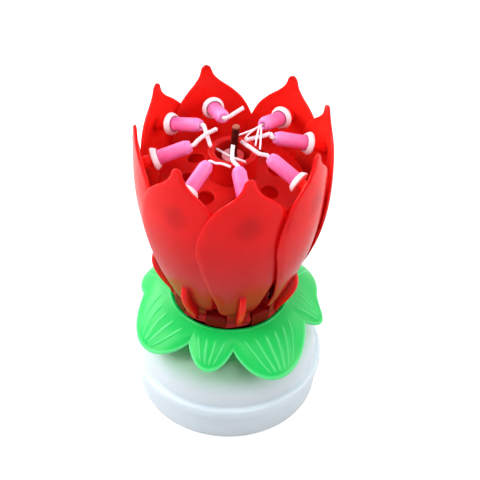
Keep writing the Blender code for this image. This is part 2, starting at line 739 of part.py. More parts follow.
def calyx():
    """Green cup with a leafy skirt: the same closed profile at each azimuth, longer along a lobe."""
    ends = [start for start, share, skew in LOBE_SHARES] + [LOBE_SHARES[0][0] + 360]
    lean = cos(radians(SKIRT_SLOPE)), sin(radians(SKIRT_SLOPE))
    rings = []
    shape = bmesh.new()
    for (start, share, skew), end in zip(LOBE_SHARES, ends[1:]):
        for step in range(LOBE_STEPS):
            across = -cos(pi * step / LOBE_STEPS)
            azimuth = (start + end) / 2 + across * (end - start) / 2
            from_tip = across - skew * (1 - across**2)
            rise = max(cos(from_tip * pi / 2), 0) ** LOBE_ROUND_SHARE
            edge = NOTCH_R + (LEAF_R * share - NOTCH_R) * rise
            run = (edge - CUP_R) / lean[0]
            steps = [n / SKIRT_POINTS for n in range(SKIRT_POINTS + 1)]
            top = [
                (CUP_R + run * s * lean[0], RIM_Z - run * s * lean[1] + skirt_bulge(s, run)) for s in steps
            ]
            under = [(r - SKIRT_T * lean[1], z - SKIRT_T * lean[0]) for r, z in reversed(top[1:])]
            profile = [
                (DOME_HOLE_R, CALYX_Z),
                (DOME_HOLE_R, CALYX_Z + CALYX_RING_T),
                (CUP_R - CUP_WALL, CALYX_Z + CALYX_RING_T),
                (CUP_R - CUP_WALL, RIM_Z),
                *top,
                *under,
                (CUP_R, RIM_Z - SKIRT_T / lean[0]),
                (CUP_R, CALYX_Z + CUP_FILLET),
                (CUP_R - CUP_FILLET, CALYX_Z),
            ]
            rings.append([shape.verts.new(around(r, azimuth, z)) for r, z in profile])
    for ring, after in zip(rings, rings[1:] + rings[:1]):
        for n in range(len(ring)):
            shape.faces.new((ring[n - 1], ring[n], after[n], after[n - 1]))
    body = piece("calyx", shape, GREEN_PLASTIC)
    hole, low, high = HUB_SCREW_R + GAP, CALYX_Z - OVERRUN, CALYX_Z + CALYX_RING_T + OVERRUN
    combine(body, gathered(rod(hole, low, high, p.x, p.y, 10) for p in hub_screw_places()), "DIFFERENCE")


def skirt_bulge(share, run):
    """How far the leaf's top stands over the straight cone, largest in the middle of its run."""
    return SKIRT_CREST * sin(pi * share) * run / LEAF_R * 2


def deck():
    """Red deck with the collar cup, on a column whose legs stand in the hub's floor."""
    inner = COLLAR_R - COLLAR_WALL
    outline = [
        (BORE_R, COLUMN_LOW_Z),
        (COLUMN_R, COLUMN_LOW_Z),
        (COLUMN_R, DECK_EDGE_Z + DECK_RISE - DECK_T),
        (DECK_R, DECK_EDGE_Z - DECK_T),
        (DECK_R, DECK_EDGE_Z),
        (COLLAR_R, DECK_EDGE_Z + DECK_RISE),
        (COLLAR_R, COLLAR_TOP_Z),
        (inner, COLLAR_TOP_Z),
        (inner, COLLAR_FLOOR_Z),
        (BORE_R, COLLAR_FLOOR_Z),
    ]
    body = piece("deck", turned(outline, 24), RED_PLASTIC)
    legs = leg_boxes(COLUMN_R - LEG_T, COLUMN_R, LEG_W, WELL_FLOOR_Z, COLUMN_LOW_Z + OVERRUN)
    combine(body, legs, "UNION")
    low, high = DECK_EDGE_Z - DECK_RISE - DECK_T, COLLAR_FLOOR_Z + OVERRUN
    spots = [around(DECK_HOLE_RING_R, petal_azimuth(n)) for n in range(PETAL_COUNT)]
    combine(body, gathered(rod(DECK_HOLE_R, low, high, p.x, p.y, 10) for p in spots), "DIFFERENCE")
    half = THREAD_R + GAP
    reach = COLLAR_R + OVERRUN
    slot = block((-reach, -half, THREAD_Z - half), (reach, half, COLLAR_TOP_Z + OVERRUN))
    bmesh.ops.translate(slot, verts=slot.verts, vec=(0, -THREAD_OFFSET, 0))
    bmesh.ops.rotate(slot, verts=slot.verts, matrix=Matrix.Rotation(radians(THREAD_AZIMUTH), 3, "Z"))
    combine(body, slot, "DIFFERENCE")


def plunger():
    """Sprung shaft: sparkler socket on top, flange under the petals' tails, contact washer's rivet below."""
    outline = [
        (0, RIVET_TOP_Z - RIVET_T),
        (RIVET_R, RIVET_TOP_Z - RIVET_T),
        (RIVET_R, RIVET_TOP_Z),
        (SPINDLE_R, RIVET_TOP_Z),
        (SPINDLE_R, SHOULDER_Z),
        (SHAFT_R, SHOULDER_Z),
        (SHAFT_R, FLANGE_LOW_Z),
        (FLANGE_R, FLANGE_LOW_Z),
        (FLANGE_R, FLANGE_TOP_Z - FLANGE_T / 4),
        (FLANGE_R - FLANGE_T / 4, FLANGE_TOP_Z),
        (SHAFT_R, FLANGE_TOP_Z),
        (SHAFT_R, SHAFT_TOP_Z),
        (SOCKET_R, SHAFT_TOP_Z),
        (SOCKET_R, SOCKET_Z),
        (0, SOCKET_Z),
    ]
    body = piece("plunger", turned(outline, 20), WHITE_PLASTIC)
    slots = leg_boxes(BORE_R, SLOT_OUT_R, SLOT_W, FLANGE_LOW_Z - OVERRUN, FLANGE_TOP_Z + OVERRUN)
    combine(body, slots, "DIFFERENCE")
    washer = [
        (SPINDLE_R + GAP, WASHER_Z),
        (WASHER_R, WASHER_Z),
        (WASHER_R, WASHER_Z + WASHER_T),
        (SPINDLE_R + GAP, WASHER_Z + WASHER_T),
    ]
    piece("contact_washer", turned(washer, 20), BRASS)


def switch_blades():
    """Two fixed strips on the hub's pegs, which the raised washer bridges."""
    for side, name in ((-1, "switch_contact_left"), (1, "switch_contact_right")):
        near, far = sorted((side * BLADE_INNER_X, side * BLADE_OUTER_X))
        body = piece(name, block((near, -BLADE_W / 2, BLADE_Z), (far, BLADE_W / 2, BLADE_Z + BLADE_T)), BRASS)
        hole = rod(PEG_R + GAP, BLADE_Z - OVERRUN, BLADE_Z + OVERRUN, side * PEG_X, 0, 10)
        combine(body, hole, "DIFFERENCE")


def spring():
    """Coil between the well's floor and the flange."""
    low = WELL_TOP_Z + GAP + SPRING_WIRE_R
    high = FLANGE_LOW_Z - GAP - SPRING_WIRE_R
    count = SPRING_TURNS * TURN_POINTS
    path = [
        (
            SPRING_R * cos(2 * pi * n / TURN_POINTS),
            SPRING_R * sin(2 * pi * n / TURN_POINTS),
            low + (high - low) * n / count,
        )
        for n in range(count + 1)
    ]
    tube("plunger_spring", path, SPRING_WIRE_R, STEEL, per_leg=1)


def sparkler():
    """Dark stick in the plunger's socket, and the thread across the collar."""
    piece("sparkler_stick", rod(STICK_R, SOCKET_Z + GAP, STICK_TOP_Z, sides=14), DARK_POWDER)
    turn = Matrix.Rotation(radians(THREAD_AZIMUTH), 3, "Z")
    ends = [turn @ Vector((x, -THREAD_OFFSET, THREAD_Z)) for x in (-THREAD_HALF_L, 0, THREAD_HALF_L)]
    tube("release_thread", ends, THREAD_R, COTTON, per_leg=1)


def petal_half_width(z):
    """Half the petal's width, along its arc, at a height: straight lines between the outline's points."""
    low = PIVOT_Z + NECK_LENGTH
    share = (z - low) / (TIP_Z - low)
    for (h0, w0), (h1, w1) in zip(OUTLINE_SHARES, OUTLINE_SHARES[1:]):
        if share <= h1:
            return PETAL_HALF_W * (w0 + (w1 - w0) * max(share - h0, 0) / (h1 - h0))
    return PETAL_HALF_W * OUTLINE_SHARES[-1][1]


def blade_point(z, across, inset, lean):
    """A point of the petal in its hinge's frame; across runs from -1 to 1, and the inset is measured inwards.

    The face winds like a pinwheel: it comes closer to the axis to the right, so that each petal's left edge
    lies over its neighbour.
    """
    winding = (PETAL_T + PETAL_GAP) / (2 * HALF_PITCH)
    radius = bud_radius(z)
    angle = across * petal_half_width(z) / radius
    radius -= winding * angle + inset
    angle += radians(lean) * (z - PIVOT_Z) / (TIP_Z - PIVOT_Z)
    return Vector((radius * sin(angle), PIVOT_R - radius * cos(angle), z - PIVOT_Z))


def petal_blade(lean):
    """The petal's curved leaf as a closed bmesh."""
    low = PIVOT_Z + NECK_LENGTH
    heights = [PIVOT_Z] + [low + (TIP_Z - low) * share for share, width in OUTLINE_SHARES]
    shares = [2 * n / PETAL_COLUMNS - 1 for n in range(PETAL_COLUMNS + 1)]
    shape = bmesh.new()
    outer, inner = (
        [[shape.verts.new(blade_point(z, s, inset, lean)) for s in shares] for z in heights]
        for inset in (0, PETAL_T)
    )
    for sheet in (outer, inner):
        for row, above in zip(sheet, sheet[1:]):
            for n in range(PETAL_COLUMNS):
                shape.faces.new((row[n], row[n + 1], above[n + 1], above[n]))
    for n in range(len(heights) - 1):
        for side in (0, -1):
            shape.faces.new((outer[n][side], outer[n + 1][side], inner[n + 1][side], inner[n][side]))
    for row in (0, -1):
        for n in range(PETAL_COLUMNS):
            shape.faces.new((outer[row][n], outer[row][n + 1], inner[row][n + 1], inner[row][n]))
    return shape


def keel(lean):
    """Fin down the outside of the petal, round at the hinge."""
    heights = [KEEL_TOP_Z + (PIVOT_Z - KEEL_TOP_Z) * n / KEEL_POINTS for n in range(KEEL_POINTS + 1)]
    outer, back = [], []
    for z in heights:
        share = (KEEL_TOP_Z - z) / (KEEL_TOP_Z - PIVOT_Z)
        outer.append(blade_point(z, 0, -KEEL_DEEP * sin(share * pi / 2), lean))
        back.append(blade_point(z, 0, PETAL_T / 2, lean))
    foot = [Vector((0, -KEEL_DEEP * cos(a), -KEEL_DEEP * sin(a))) for a in arc(15, 90, 5)]
    shape = bmesh.new()
    sides = []
    for side in (-KEEL_T / 2, KEEL_T / 2):
        flat = [point + Vector((side, 0, 0)) for point in outer + foot + back[::-1]]
        sides.append([shape.verts.new(point) for point in flat])
        shape.faces.new(sides[-1])
    left, right = sides
    for n in range(len(left)):
        shape.faces.new((left[n - 1], left[n], right[n], right[n - 1]))
    return shape


def barrel():
    """Hinge barrel with its two trunnions."""
    end = BARREL_HALF_L + TRUNNION_L
    half = [(0, -end), (TRUNNION_R, -end), (TRUNNION_R, -BARREL_HALF_L), (BARREL_R, -BARREL_HALF_L)]
    return turned(half + [(r, -x) for r, x in reversed(half)], 10, RIGHT)


def tail():
    """Lever inside the hinge that the plunger's flange lifts."""
    drop = radians(TAIL_DROP)
    end = Vector((0, TAIL_L * cos(drop), -TAIL_L * sin(drop)))
    angles = [a - drop for a in arc(-90, 90, 6)]
    tip = [end + TAIL_HALF_T * Vector((0, cos(a), sin(a))) for a in angles]
    root = [TAIL_HALF_T * Vector((0, cos(a), sin(a))) for a in (angles[-1], angles[0])]
    outline = [point - Vector((TAIL_W / 2, 0, 0)) for point in tip + root]
    return extruded(outline, (TAIL_W, 0, 0))


def petals():
    """Eight petals, each with its cup, candle and wick on a hinge of its own."""
    for n in range(PETAL_COUNT):
        hinge = bpy.data.objects.new(f"hinge_{n + 1}", None)
        hinge.location = around(PIVOT_R, petal_azimuth(n), PIVOT_Z)
        hinge.rotation_euler.z = radians(petal_azimuth(n))
        bpy.context.scene.collection.objects.link(hinge)
        lean = TIP_LEANS[n]
        petal = piece(f"petal_{n + 1}", petal_blade(lean), RED_PLASTIC)
        for shape in (keel(lean), barrel(), tail()):
            combine(petal, shape, "UNION")
        petal.parent = hinge
        for part in candle(n, lean):
            part.parent = hinge


def candle(index, lean):
    """Cup, candle and wick of one petal; each lies along the axis of the candle."""
    seat = blade_point(CANDLE_SEAT_Z, 0, PETAL_T, lean)
    side_angle = radians(lean) * (CANDLE_SEAT_Z - PIVOT_Z) / (TIP_Z - PIVOT_Z)
    turn = Matrix.Rotation(side_angle + radians(CANDLE_SWINGS[index]), 4, "Z")
    tilt = Matrix.Rotation(radians(CANDLE_TILT), 4, "X")
    frame = Matrix.Translation(seat) @ turn @ tilt
    disc = CUP_STEM_START + CUP_STEM_L
    face = disc + CUP_DISC_T
    recess = face - CUP_RECESS
    cup_outline = [
        (0, CUP_STEM_START),
        (CUP_STEM_R, CUP_STEM_START),
        (CUP_STEM_R, disc),
        (CUP_DISC_R, disc),
        (CUP_DISC_R, face - CUP_EDGE),
        (CUP_DISC_R - CUP_EDGE, face),
        (CANDLE_R + GAP, face),
        (CANDLE_R + GAP, recess),
        (0, recess),
    ]
    cup = piece(f"candle_cup_{index + 1}", turned(cup_outline, 12, BACK), WHITE_PLASTIC)
    foot = recess + GAP
    end = foot + CANDLE_L
    hole_r = WICK_R + GAP
    wax_outline = [
        (0, foot),
        (CANDLE_R, foot),
        (CANDLE_R, end),
        (hole_r, end),
        (hole_r, end - WICK_HOLE_DEEP),
        (0, end - WICK_HOLE_DEEP),
    ]
    wax = piece(f"candle_{index + 1}", turned(wax_outline, 12, BACK), PINK_WAX)
    for made in (cup, wax):
        made.matrix_world = frame
    return cup, wax, wick(index, frame, end)


def wick(index, frame, end):
    """The wick's tube, from its hole in the candle."""
    root = frame @ Vector((0, end - WICK_HOLE_DEEP + GAP, 0))
    mouth = frame @ Vector((0, end, 0))
    neck = frame @ Vector((0, end + WICK_NECK, 0))
    path = [root, mouth, neck] + [mouth + WICK_REACH * Vector(bend) for bend in WICK_SHARES[index]]
    radius = THIN_WICK_R if index == THIN_WICK_PETAL else WICK_R
    return tube(f"wick_{index + 1}", path, radius, COTTON, per_leg=2)


for old in list(bpy.data.objects):
    bpy.data.objects.remove(old)

MILKY = material("milky plastic", (0.80, 0.83, 0.84), 0.35)
RED_PLASTIC = material("red plastic", (0.72, 0.014, 0.012), 0.25)
GREEN_PLASTIC = material("green plastic", (0.03, 0.72, 0.20), 0.3)
WHITE_PLASTIC = material("white plastic", (0.86, 0.84, 0.84), 0.4)
BLACK_PLASTIC = material("black plastic", (0.02, 0.02, 0.02), 0.4)
PINK_WAX = material("pink wax", (0.93, 0.14, 0.38), 0.45)
COTTON = material("cotton", (0.88, 0.82, 0.83), 0.9)
DARK_POWDER = material("dark powder coat", (0.05, 0.012, 0.008), 0.8)
STEEL = material("steel", (0.55, 0.55, 0.56), 0.35, 1.0)
CELL_STEEL = material("cell steel", (0.62, 0.62, 0.60), 0.25, 1.0)
BRASS = material("brass", (0.70, 0.50, 0.20), 0.3, 1.0)
BOARD_GREEN = material("board", (0.02, 0.20, 0.06), 0.4)
RED_VINYL = material("red vinyl", (0.60, 0.02, 0.02), 0.4)
BLACK_VINYL = material("black vinyl", (0.02, 0.02, 0.02), 0.4)
WHITE_VINYL = material("white vinyl", (0.80, 0.80, 0.78), 0.4)

base_shell()
bottom_plate()
fasteners()
batteries()
wires(sounder())
circuit()
calyx()
hub()
deck()
plunger()
switch_blades()
spring()
sparkler()
petals()
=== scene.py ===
"""Looks of the musical birthday candle: a red lotus bud on a leafy green calyx and a milky base.

Sizes are in millimetres and angles in degrees, and a piece's points turn to metres when its mesh
is made. +Z is up and the front is towards -Y. An azimuth runs from the front towards +X. A petal
is worked out in the frame of its hinge: x to the right seen from outside, y towards the axis and
z up.
"""

import json
from math import pi, radians

import bmesh
import bpy
import numpy as np
from mathutils import Matrix, Vector


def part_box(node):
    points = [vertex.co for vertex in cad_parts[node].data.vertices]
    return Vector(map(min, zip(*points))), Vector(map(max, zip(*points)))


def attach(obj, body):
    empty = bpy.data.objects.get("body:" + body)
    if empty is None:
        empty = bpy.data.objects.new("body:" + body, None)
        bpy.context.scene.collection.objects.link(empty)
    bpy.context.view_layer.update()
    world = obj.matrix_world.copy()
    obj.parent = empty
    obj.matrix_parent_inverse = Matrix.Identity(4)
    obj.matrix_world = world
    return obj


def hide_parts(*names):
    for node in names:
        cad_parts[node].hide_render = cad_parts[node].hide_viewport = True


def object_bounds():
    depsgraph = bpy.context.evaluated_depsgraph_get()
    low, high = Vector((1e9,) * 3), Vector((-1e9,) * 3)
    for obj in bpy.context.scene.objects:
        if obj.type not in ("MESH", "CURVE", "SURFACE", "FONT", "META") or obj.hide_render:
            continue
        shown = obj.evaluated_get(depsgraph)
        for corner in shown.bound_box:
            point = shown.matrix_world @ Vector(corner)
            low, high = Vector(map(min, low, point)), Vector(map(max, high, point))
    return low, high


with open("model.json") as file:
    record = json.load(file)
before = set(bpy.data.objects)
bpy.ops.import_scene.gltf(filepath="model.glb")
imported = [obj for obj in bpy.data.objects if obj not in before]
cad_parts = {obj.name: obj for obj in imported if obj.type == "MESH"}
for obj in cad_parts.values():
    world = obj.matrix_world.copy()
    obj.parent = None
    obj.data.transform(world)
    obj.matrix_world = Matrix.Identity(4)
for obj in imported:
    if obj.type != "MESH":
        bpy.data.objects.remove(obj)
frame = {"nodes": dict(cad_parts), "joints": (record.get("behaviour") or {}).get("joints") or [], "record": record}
cad_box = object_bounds()

MM = 0.001


# Places read from the frame

def hinge_azimuth(joint):
    """The azimuth at which a petal's hinge stands."""
    return float(np.degrees(np.arctan2(joint["axis"][1], joint["axis"][0])))


def low_z(node):
    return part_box(node)[0].z / MM


def high_z(node):
    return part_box(node)[1].z / MM


def half_width(node):
    low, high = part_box(node)
    return (high.y - low.y) / 2 / MM


HINGES = {joint["name"]: joint for joint in frame["joints"] if joint["type"] == "hinge"}
FIRST_HINGE = HINGES["petal_1_hinge"]
FIRST_AZIMUTH = hinge_azimuth(FIRST_HINGE)
OPEN_ANGLE = FIRST_HINGE["range_deg"][1]
PIVOT = np.array(FIRST_HINGE["pos_m"]) / MM
PIVOT_R = float(np.hypot(PIVOT[0], PIVOT[1]))
PIVOT_Z = float(PIVOT[2])
PETAL_COUNT = len(HINGES)
PITCH = 360 / PETAL_COUNT

TIP_Z = high_z("petal_1")
DOME_TOP_Z = high_z("base_shell")
DECK_R = half_width("deck")
COLLAR_TOP_Z = high_z("deck")
LEG_LOW_Z = low_z("deck")
SHAFT_TOP_Z = high_z("plunger")
STICK_TOP_Z = high_z("sparkler_stick")
STICK_LOW_Z = low_z("sparkler_stick")
THREAD_Z = (low_z("release_thread") + high_z("release_thread")) / 2
EAR_TOP_Z = high_z("hub")
CALYX_Z = low_z("calyx")

# Gap between parts that are put together, and how far from a moulded corner its rounding starts
CLEARANCE = 0.3
EDGE_SOFT = 0.3
# A corner's rounding takes at most this share of a side
SOFT_SHARE = 0.45
# Faces that meet at more than this angle keep a crisp edge
SHARP_ANGLE = 50

# Camera
CAMERA_ELEVATION = 41.41
CAMERA_ROLL = 1.87
CAMERA_DISTANCE = 371.4
CAMERA_AIM = (2.675, 0.0, 54.73)
LENS = 97.5
SENSOR = 36.0

# Light: each lamp's name, its place and width in metres, and its power
LAMPS = (
    ("key", (-0.60, -0.15, 0.55), 0.40, 4.0),
    ("fill", (0.60, -0.10, 0.40), 0.35, 1.8),
    ("top", (0.10, -0.30, 0.85), 0.45, 1.8),
    ("rim_left", (-0.50, 0.40, 0.35), 0.40, 3.4),
    ("rim_right", (0.50, 0.40, 0.35), 0.40, 1.4),
)
LAMP_AIM = (0, 0, 0.05)
SKY_LIGHT = 0.34
FLOOR_GLOW = 0.50
FLOOR_HALF_M = 3.0
FLOOR_DROP_M = 0.0002

# Base shell
FOOT_R = 27.0
LIP_R = 28.4
LIP_ROUND = 1.4
LIP_STEP = 0.8
LIP_LOW_Z = 8.8
LIP_TOP_Z = 12.8
DOME_R = 26.7
DOME_TOP_R = 14.5
DOME_HOLE_R = 9.1
DOME_STEP = 1.6
BASE_WALL = 1.5
BASE_COLUMNS = 160
# Where the painted green shade under the leaves, their shadow and green light on the milky dome, is
# gone and where it is full
GREEN_SHADE_R = 26.2
GREEN_SHADE_FULL_R = 23.2

# Calyx
CUP_R = 17.6
CUP_WALL = 1.2
CUP_ROUND = 0.5
CALYX_RING_T = 1.2
RIM_Z = 35.2
# The rim: how far down the cup's wall meets the skirt, and where the inner lip ends
RIM_UNDER = 1.9
RIM_IN = 0.2
RIM_UP = 0.25
SKIRT_SLOPE = 31.0
SKIRT_T = 1.1
SKIRT_CREST = 1.0
SKIRT_ROWS = 44
# Each leaf lobe's starting azimuth, its reach there and at its tip, the tip's lean to one side,
# and its veins
LOBES = (
    (-95.1, 26.0, 30.1, 0.21, 5),
    (-29.5, 22.7, 28.1, 0.03, 4),
    (4.5, 22.5, 31.4, -0.20, 6),
    (69.4, 24.3, 28.6, -0.38, 4),
    (101.3, 27.2, 30.2, -0.14, 5),
    (168.0, 24.5, 27.6, 0.0, 4),
    (200.0, 24.5, 29.3, 0.25, 5),
)
LOBE_COLUMNS = 120
LEAF_R = 30.8
VEIN_HALF_W = 0.26
VEIN_HIGH = 0.22
VEIN_START = 2.6
VEIN_FADE = 1.5
VEIN_END = 1.0
VEIN_SPREAD = 0.8
VEIN_DRAWN = 0.82
# Painted highlight on the veins and along the leaf's edge, and the width it takes at the edge
VEIN_HIGHLIGHT = 0.34
EDGE_HIGHLIGHT = 0.4
EDGE_HIGHLIGHT_W = 0.7

# Hub and its ears
HUB_FLOOR_T = 1.2
HUB_R = 16.1
WELL_R = 8.8
WELL_WALL = 1.2
WELL_FLOOR_Z = 23.0
SHAFT_BORE_R = 3.3
HUB_Z = CALYX_Z + CALYX_RING_T + CLEARANCE
HUB_BOSS_R = 1.9
HUB_BOSS_LOW_Z = HUB_Z + 0.5
HUB_BOSS_TOP_Z = 32.6
# Petals that stand over a screw, counted from the first as 0
HUB_SCREW_PETALS = (2, 6)
EAR_SIDE = 3.804
EAR_LOW_Z = HUB_Z + 0.2
EAR_INNER_R = 13.2
EAR_STEM_R = 15.6
EAR_HEAD_R = 16.9
EAR_HEAD_LOW_Z = 35.8
EAR_ROUND = 0.7
# The ear's sections: where each stands, in shares of its half width, and how far it is drawn in
EAR_SECTIONS = np.array([-1, -0.97, -0.9, -0.8, 0, 0.8, 0.9, 0.97, 1])
EAR_DRAWN_IN = np.array([0.45, 0.25, 0.08, 0, 0, 0, 0.08, 0.25, 0.45])

# Petals
BUD_R = 26.8
BUD_WIDE_Z = 81.0
PETAL_T = 0.9
PETAL_GAP = 0.5
CROWN_SHARE = 0.1
TIP_LEANS = (-0.1, 0.8, 5.7, -3.3, 8.1, -0.4, -1.0, 2.5)
SWAYS = (0.0, 2.4, 0.0, 0.0, 0.0, 0.0, 0.0, 0.0)
# Under 1, a sway is widest below the middle
SWAY_BEND = 0.6
PETAL_HALF_W = 13.7
NECK_L = 2.8
# Height from the neck to the tip, and half width, each as a share of the whole
PETAL_SHARES = (
    (0.00, 0.256),
    (0.025, 0.41),
    (0.13, 0.52),
    (0.25, 0.69),
    (0.42, 0.89),
    (0.56, 1.00),
    (0.63, 0.975),
    (0.72, 0.87),
    (0.79, 0.73),
    (0.85, 0.51),
    (0.90, 0.28),
    (0.94, 0.16),
    (1.00, 0.085),
)
PETAL_ROWS = 78
TIP_ROWS = 10
TIP_ROUND = 1.25
# Thickness of the side edges as a share of the leaf's, and the width over which it thins
EDGE_SHARE = 0.78
EDGE_RUN = 0.6
# Columns of a side's run, and angles of the half circle at its edge
SIDE_COLUMNS = 13
EDGE_TURN = np.linspace(0, pi, 8)[1:-1]
# Share of the leaf's thickness from which a point belongs to its inner face
INNER_SHARE = 0.7
# How the painted shade lies: at the nib, where the cup stands behind the leaf, and towards the foot
NIB_SHADED = 1.8
NIB_SHADE = 0.55
SPOT_Z = 81.0
SPOT_R = 3.6
SPOT_SHADE = 0.24
FOOT_SHADE = 0.62
FOOT_SHADE_Z = 77.0
FOOT_SHADED = 31.0
# The keel stands further out than this, and takes none of the leaf's painted shade
UNSHADED_OUT = 0.6
# Painted shade and painted inner light of the apron, keel's foot, barrel, tail and cup's boss
PLAIN_SHADES = (0.66, 0.2, 0.55, 0.55, 0.0)
PLAIN_INNER_LIGHT = (0.0, 0.0, 0.0, 0.0, 1.0)
APRON_LOW = 1.8
APRON_HIGH = 4.4
APRON_OUT = 2.5
APRON_SUNK = 0.05
APRON_T = 0.7
APRON_HALF_W = 3.4
APRON_ROWS = 24
KEEL_T = 1.5
KEEL_DEEP = 2.2
KEEL_BELLY = 0.3
KEEL_TOP_Z = 53.0
KEEL_HALF_W = KEEL_T * 0.6
# The keel's foot: its swing in degrees, and under 1 the bluntness of its section
KEEL_SWING = (-15, 100)
KEEL_BLUNT = 0.7
# Columns of the petal's mesh over the keel, in shares of a little more than its half width
KEEL_COLUMNS = np.array(
    [-1, -0.8, -0.66, -0.6, -0.55, -0.45, -0.25, 0, 0.25, 0.45, 0.55, 0.6, 0.66, 0.8, 1])
BARREL_R = 1.3
BARREL_HALF_L = 3.504
BARREL_SOFT = 0.2
TRUNNION_R = 0.7
TRUNNION_L = 1.0
TAIL_L = 4.5
TAIL_HALF_T = 0.8
TAIL_W = 3.0
TAIL_DROP = 30.0
TAIL_BLUNT = 0.4

# Deck, collar and column
DECK_EDGE_Z = 77.3
DECK_T = 1.3
DECK_RISE = 2.3
DECK_HOLE_R = 2.4
DECK_HOLE_ROUND = 0.35
DECK_HOLE_RING_R = 12.4
DECK_COLUMNS = 24
DECK_ROWS = 10
DECK_SUNK = 0.4
COLLAR_R = 6.8
COLLAR_WALL = 1.9
COLLAR_ROUND = 0.55
COLLAR_FLOOR_Z = 80.5
COLLAR_LOW_Z = COLLAR_FLOOR_Z - 3
COLUMN_R = 5.2
COLUMN_LOW_Z = 42.0
COLUMN_HEAD_R = COLLAR_R - 0.5
COLUMN_HEAD_Z = COLLAR_FLOOR_Z - 1
LEG_COUNT = 4
LEG_T = 1.6
LEG_W = 2.0
LEG_BLUNT = 0.35

# Sparkler and thread
STICK_R = 1.0
STICK_LEAN = 0.7
STICK_GRAIN = 0.035
STICK_ROWS = 90
STICK_COLUMNS = 32
# The stick's rounded end: each row's share of the radius, and how far it lies below the top
STICK_END_SHARES = (0.97, 0.9, 0.6)
STICK_END_DROPS = (0.15, 0.03, 0.0)
STICK_RIM = 0.9
# A twisted strand's distance from the middle and its radius, in shares of the whole's radius
STRAND_OUT = 0.5
STRAND_SHARE = 0.56
COTTON_SIDES = 8
THREAD_R = 0.35
THREAD_LAY = 1.6
THREAD_OFFSET = 1.75
THREAD_HALF_L = 5.4
THREAD_HUMP = 0.2
THREAD_AZIMUTH = -40.8
THREAD_SLID = 0.8

# Candles
CANDLE_SEAT_Z = 84.2
CUP_STEM_START = 0.8
CUP_STEM_R = 1.2
CUP_STEM_L = 3.8
CUP_DISC_R = 3.2
CUP_DISC_T = 1.6
CUP_SLOPE_SHARE = 0.3
CUP_RECESS = 0.8
CUP_LIP = 0.25
BOSS_FOOT_R = 2.1
BOSS_HEAD_R = 1.6
BOSS_SUNK = 0.3
BOSS_SHORT = 0.1
CANDLE_R = 2.0
CANDLE_L = 9.7
CANDLE_SWINGS = (2.0, -1.4, 1.2, 4.5, 2.0, 3.5, -0.5, 1.0)
WAX_SOFT = 0.15
WAX_TAPER_L = 1.4
WAX_END_R = 1.45
# Painted light that makes the candle paler towards its end: the length it takes and its strength
WAX_END_LIGHT_L = 5.0
WAX_END_LIGHT = 0.7
WICK_HOLE_DEEP = 1.5
WICK_HOLE_SHARE = 1.15
WICK_NECK = 0.9
WICK_R = 0.58
WICK_LAY = 2.6
THIN_WICK_R = 0.35
THIN_WICK_PETAL = 8
WICK_REACH = 10.0
# Each wick's bends from its candle's end, in shares of WICK_REACH: to the right from outside,
# inwards and up
WICK_SHARES = (
    ((-0.10, 0.28, 0.07), (-0.08, 0.52, 0.10), (-0.01, 0.82, 0.14)),
    ((-0.05, 0.29, 0.02), (0.05, 0.62, -0.01), (0.17, 1.02, -0.04)),
    ((0.10, 0.10, 0.07), (-0.03, 0.36, 0.11), (-0.19, 0.83, 0.16)),
    ((0.03, 0.34, 0.01), (0.16, 0.50, -0.02), (0.26, 0.72, -0.04)),
    ((-0.16, 0.07, 0.09), (-0.34, -0.04, 0.12), (-0.57, -0.21, 0.13)),
    ((0.15, 0.26, 0.02), (0.32, 0.46, -0.01), (0.56, 0.73, -0.03)),
    ((-0.09, 0.21, 0.10), (-0.24, 0.45, 0.17), (-0.38, 0.75, 0.21)),
    ((0.20, 0.06, 0.07), (0.38, 0.09, 0.12), (0.67, 0.06, 0.18)),
)
# The strands of the wick that has come apart, written in the same way
FRAYED_PETAL = 4
FRAYED_STRAND_R = 0.26
FRAYED_SHARES = (
    ((0.02, 0.36, 0.05), (0.11, 0.55, 0.03), (0.24, 0.76, -0.01)),
    ((-0.01, 0.45, 0.07), (0.02, 0.63, 0.04), (0.03, 0.78, -0.02)),
    ((-0.11, 0.33, 0.14), (-0.38, 0.82, 0.26), (-0.52, 1.09, 0.18)),
    ((-0.20, 0.36, 0.13), (-0.51, 0.83, 0.27), (-0.70, 1.14, 0.17)),
)


# Surfaces

def turn_z(degrees):
    """Matrix that turns about Z."""
    return np.array(Matrix.Rotation(radians(degrees), 3, "Z"))


def through(table, x):
    """A smooth curve through a table's points: cubics whose end slopes never overshoot."""
    xs, ys = np.array(table, float).T
    step = np.diff(xs)
    rise = np.diff(ys) / step
    slope = np.concatenate([rise[:1], np.zeros(len(xs) - 2), rise[-1:]])
    same = rise[:-1] * rise[1:] > 0
    slope[1:-1][same] = (2 * rise[:-1] * rise[1:])[same] / (rise[:-1] + rise[1:])[same]
    x = np.clip(x, xs[0], xs[-1])
    n = np.clip(np.searchsorted(xs, x, side="right") - 1, 0, len(step) - 1)
    t = (x - xs[n]) / step[n]
    level = (1 + 2 * t) * (1 - t) ** 2 * ys[n] + t * t * (3 - 2 * t) * ys[n + 1]
    return level + step[n] * t * (1 - t) * ((1 - t) * slope[n] - t * slope[n + 1])


def smooth_line(points, per_leg):
    """A curve through points: on each leg a cubic with the slopes of its neighbours' chords."""
    points = np.array(points, float)
    ends = np.concatenate([[2 * points[0] - points[1]], points, [2 * points[-1] - points[-2]]])
    a, b, c, d = (ends[n : n + len(points) - 1, None] for n in range(4))
    t = (np.arange(per_leg) / per_leg)[None, :, None]
    square = a - b * 2.5 + c * 2 - d / 2
    cube = (b - c) * 1.5 + (d - a) / 2
    line = (b + (c - a) * t / 2 + square * t**2 + cube * t**3).reshape(-1, 3)
    return np.concatenate([line, points[-1:]])


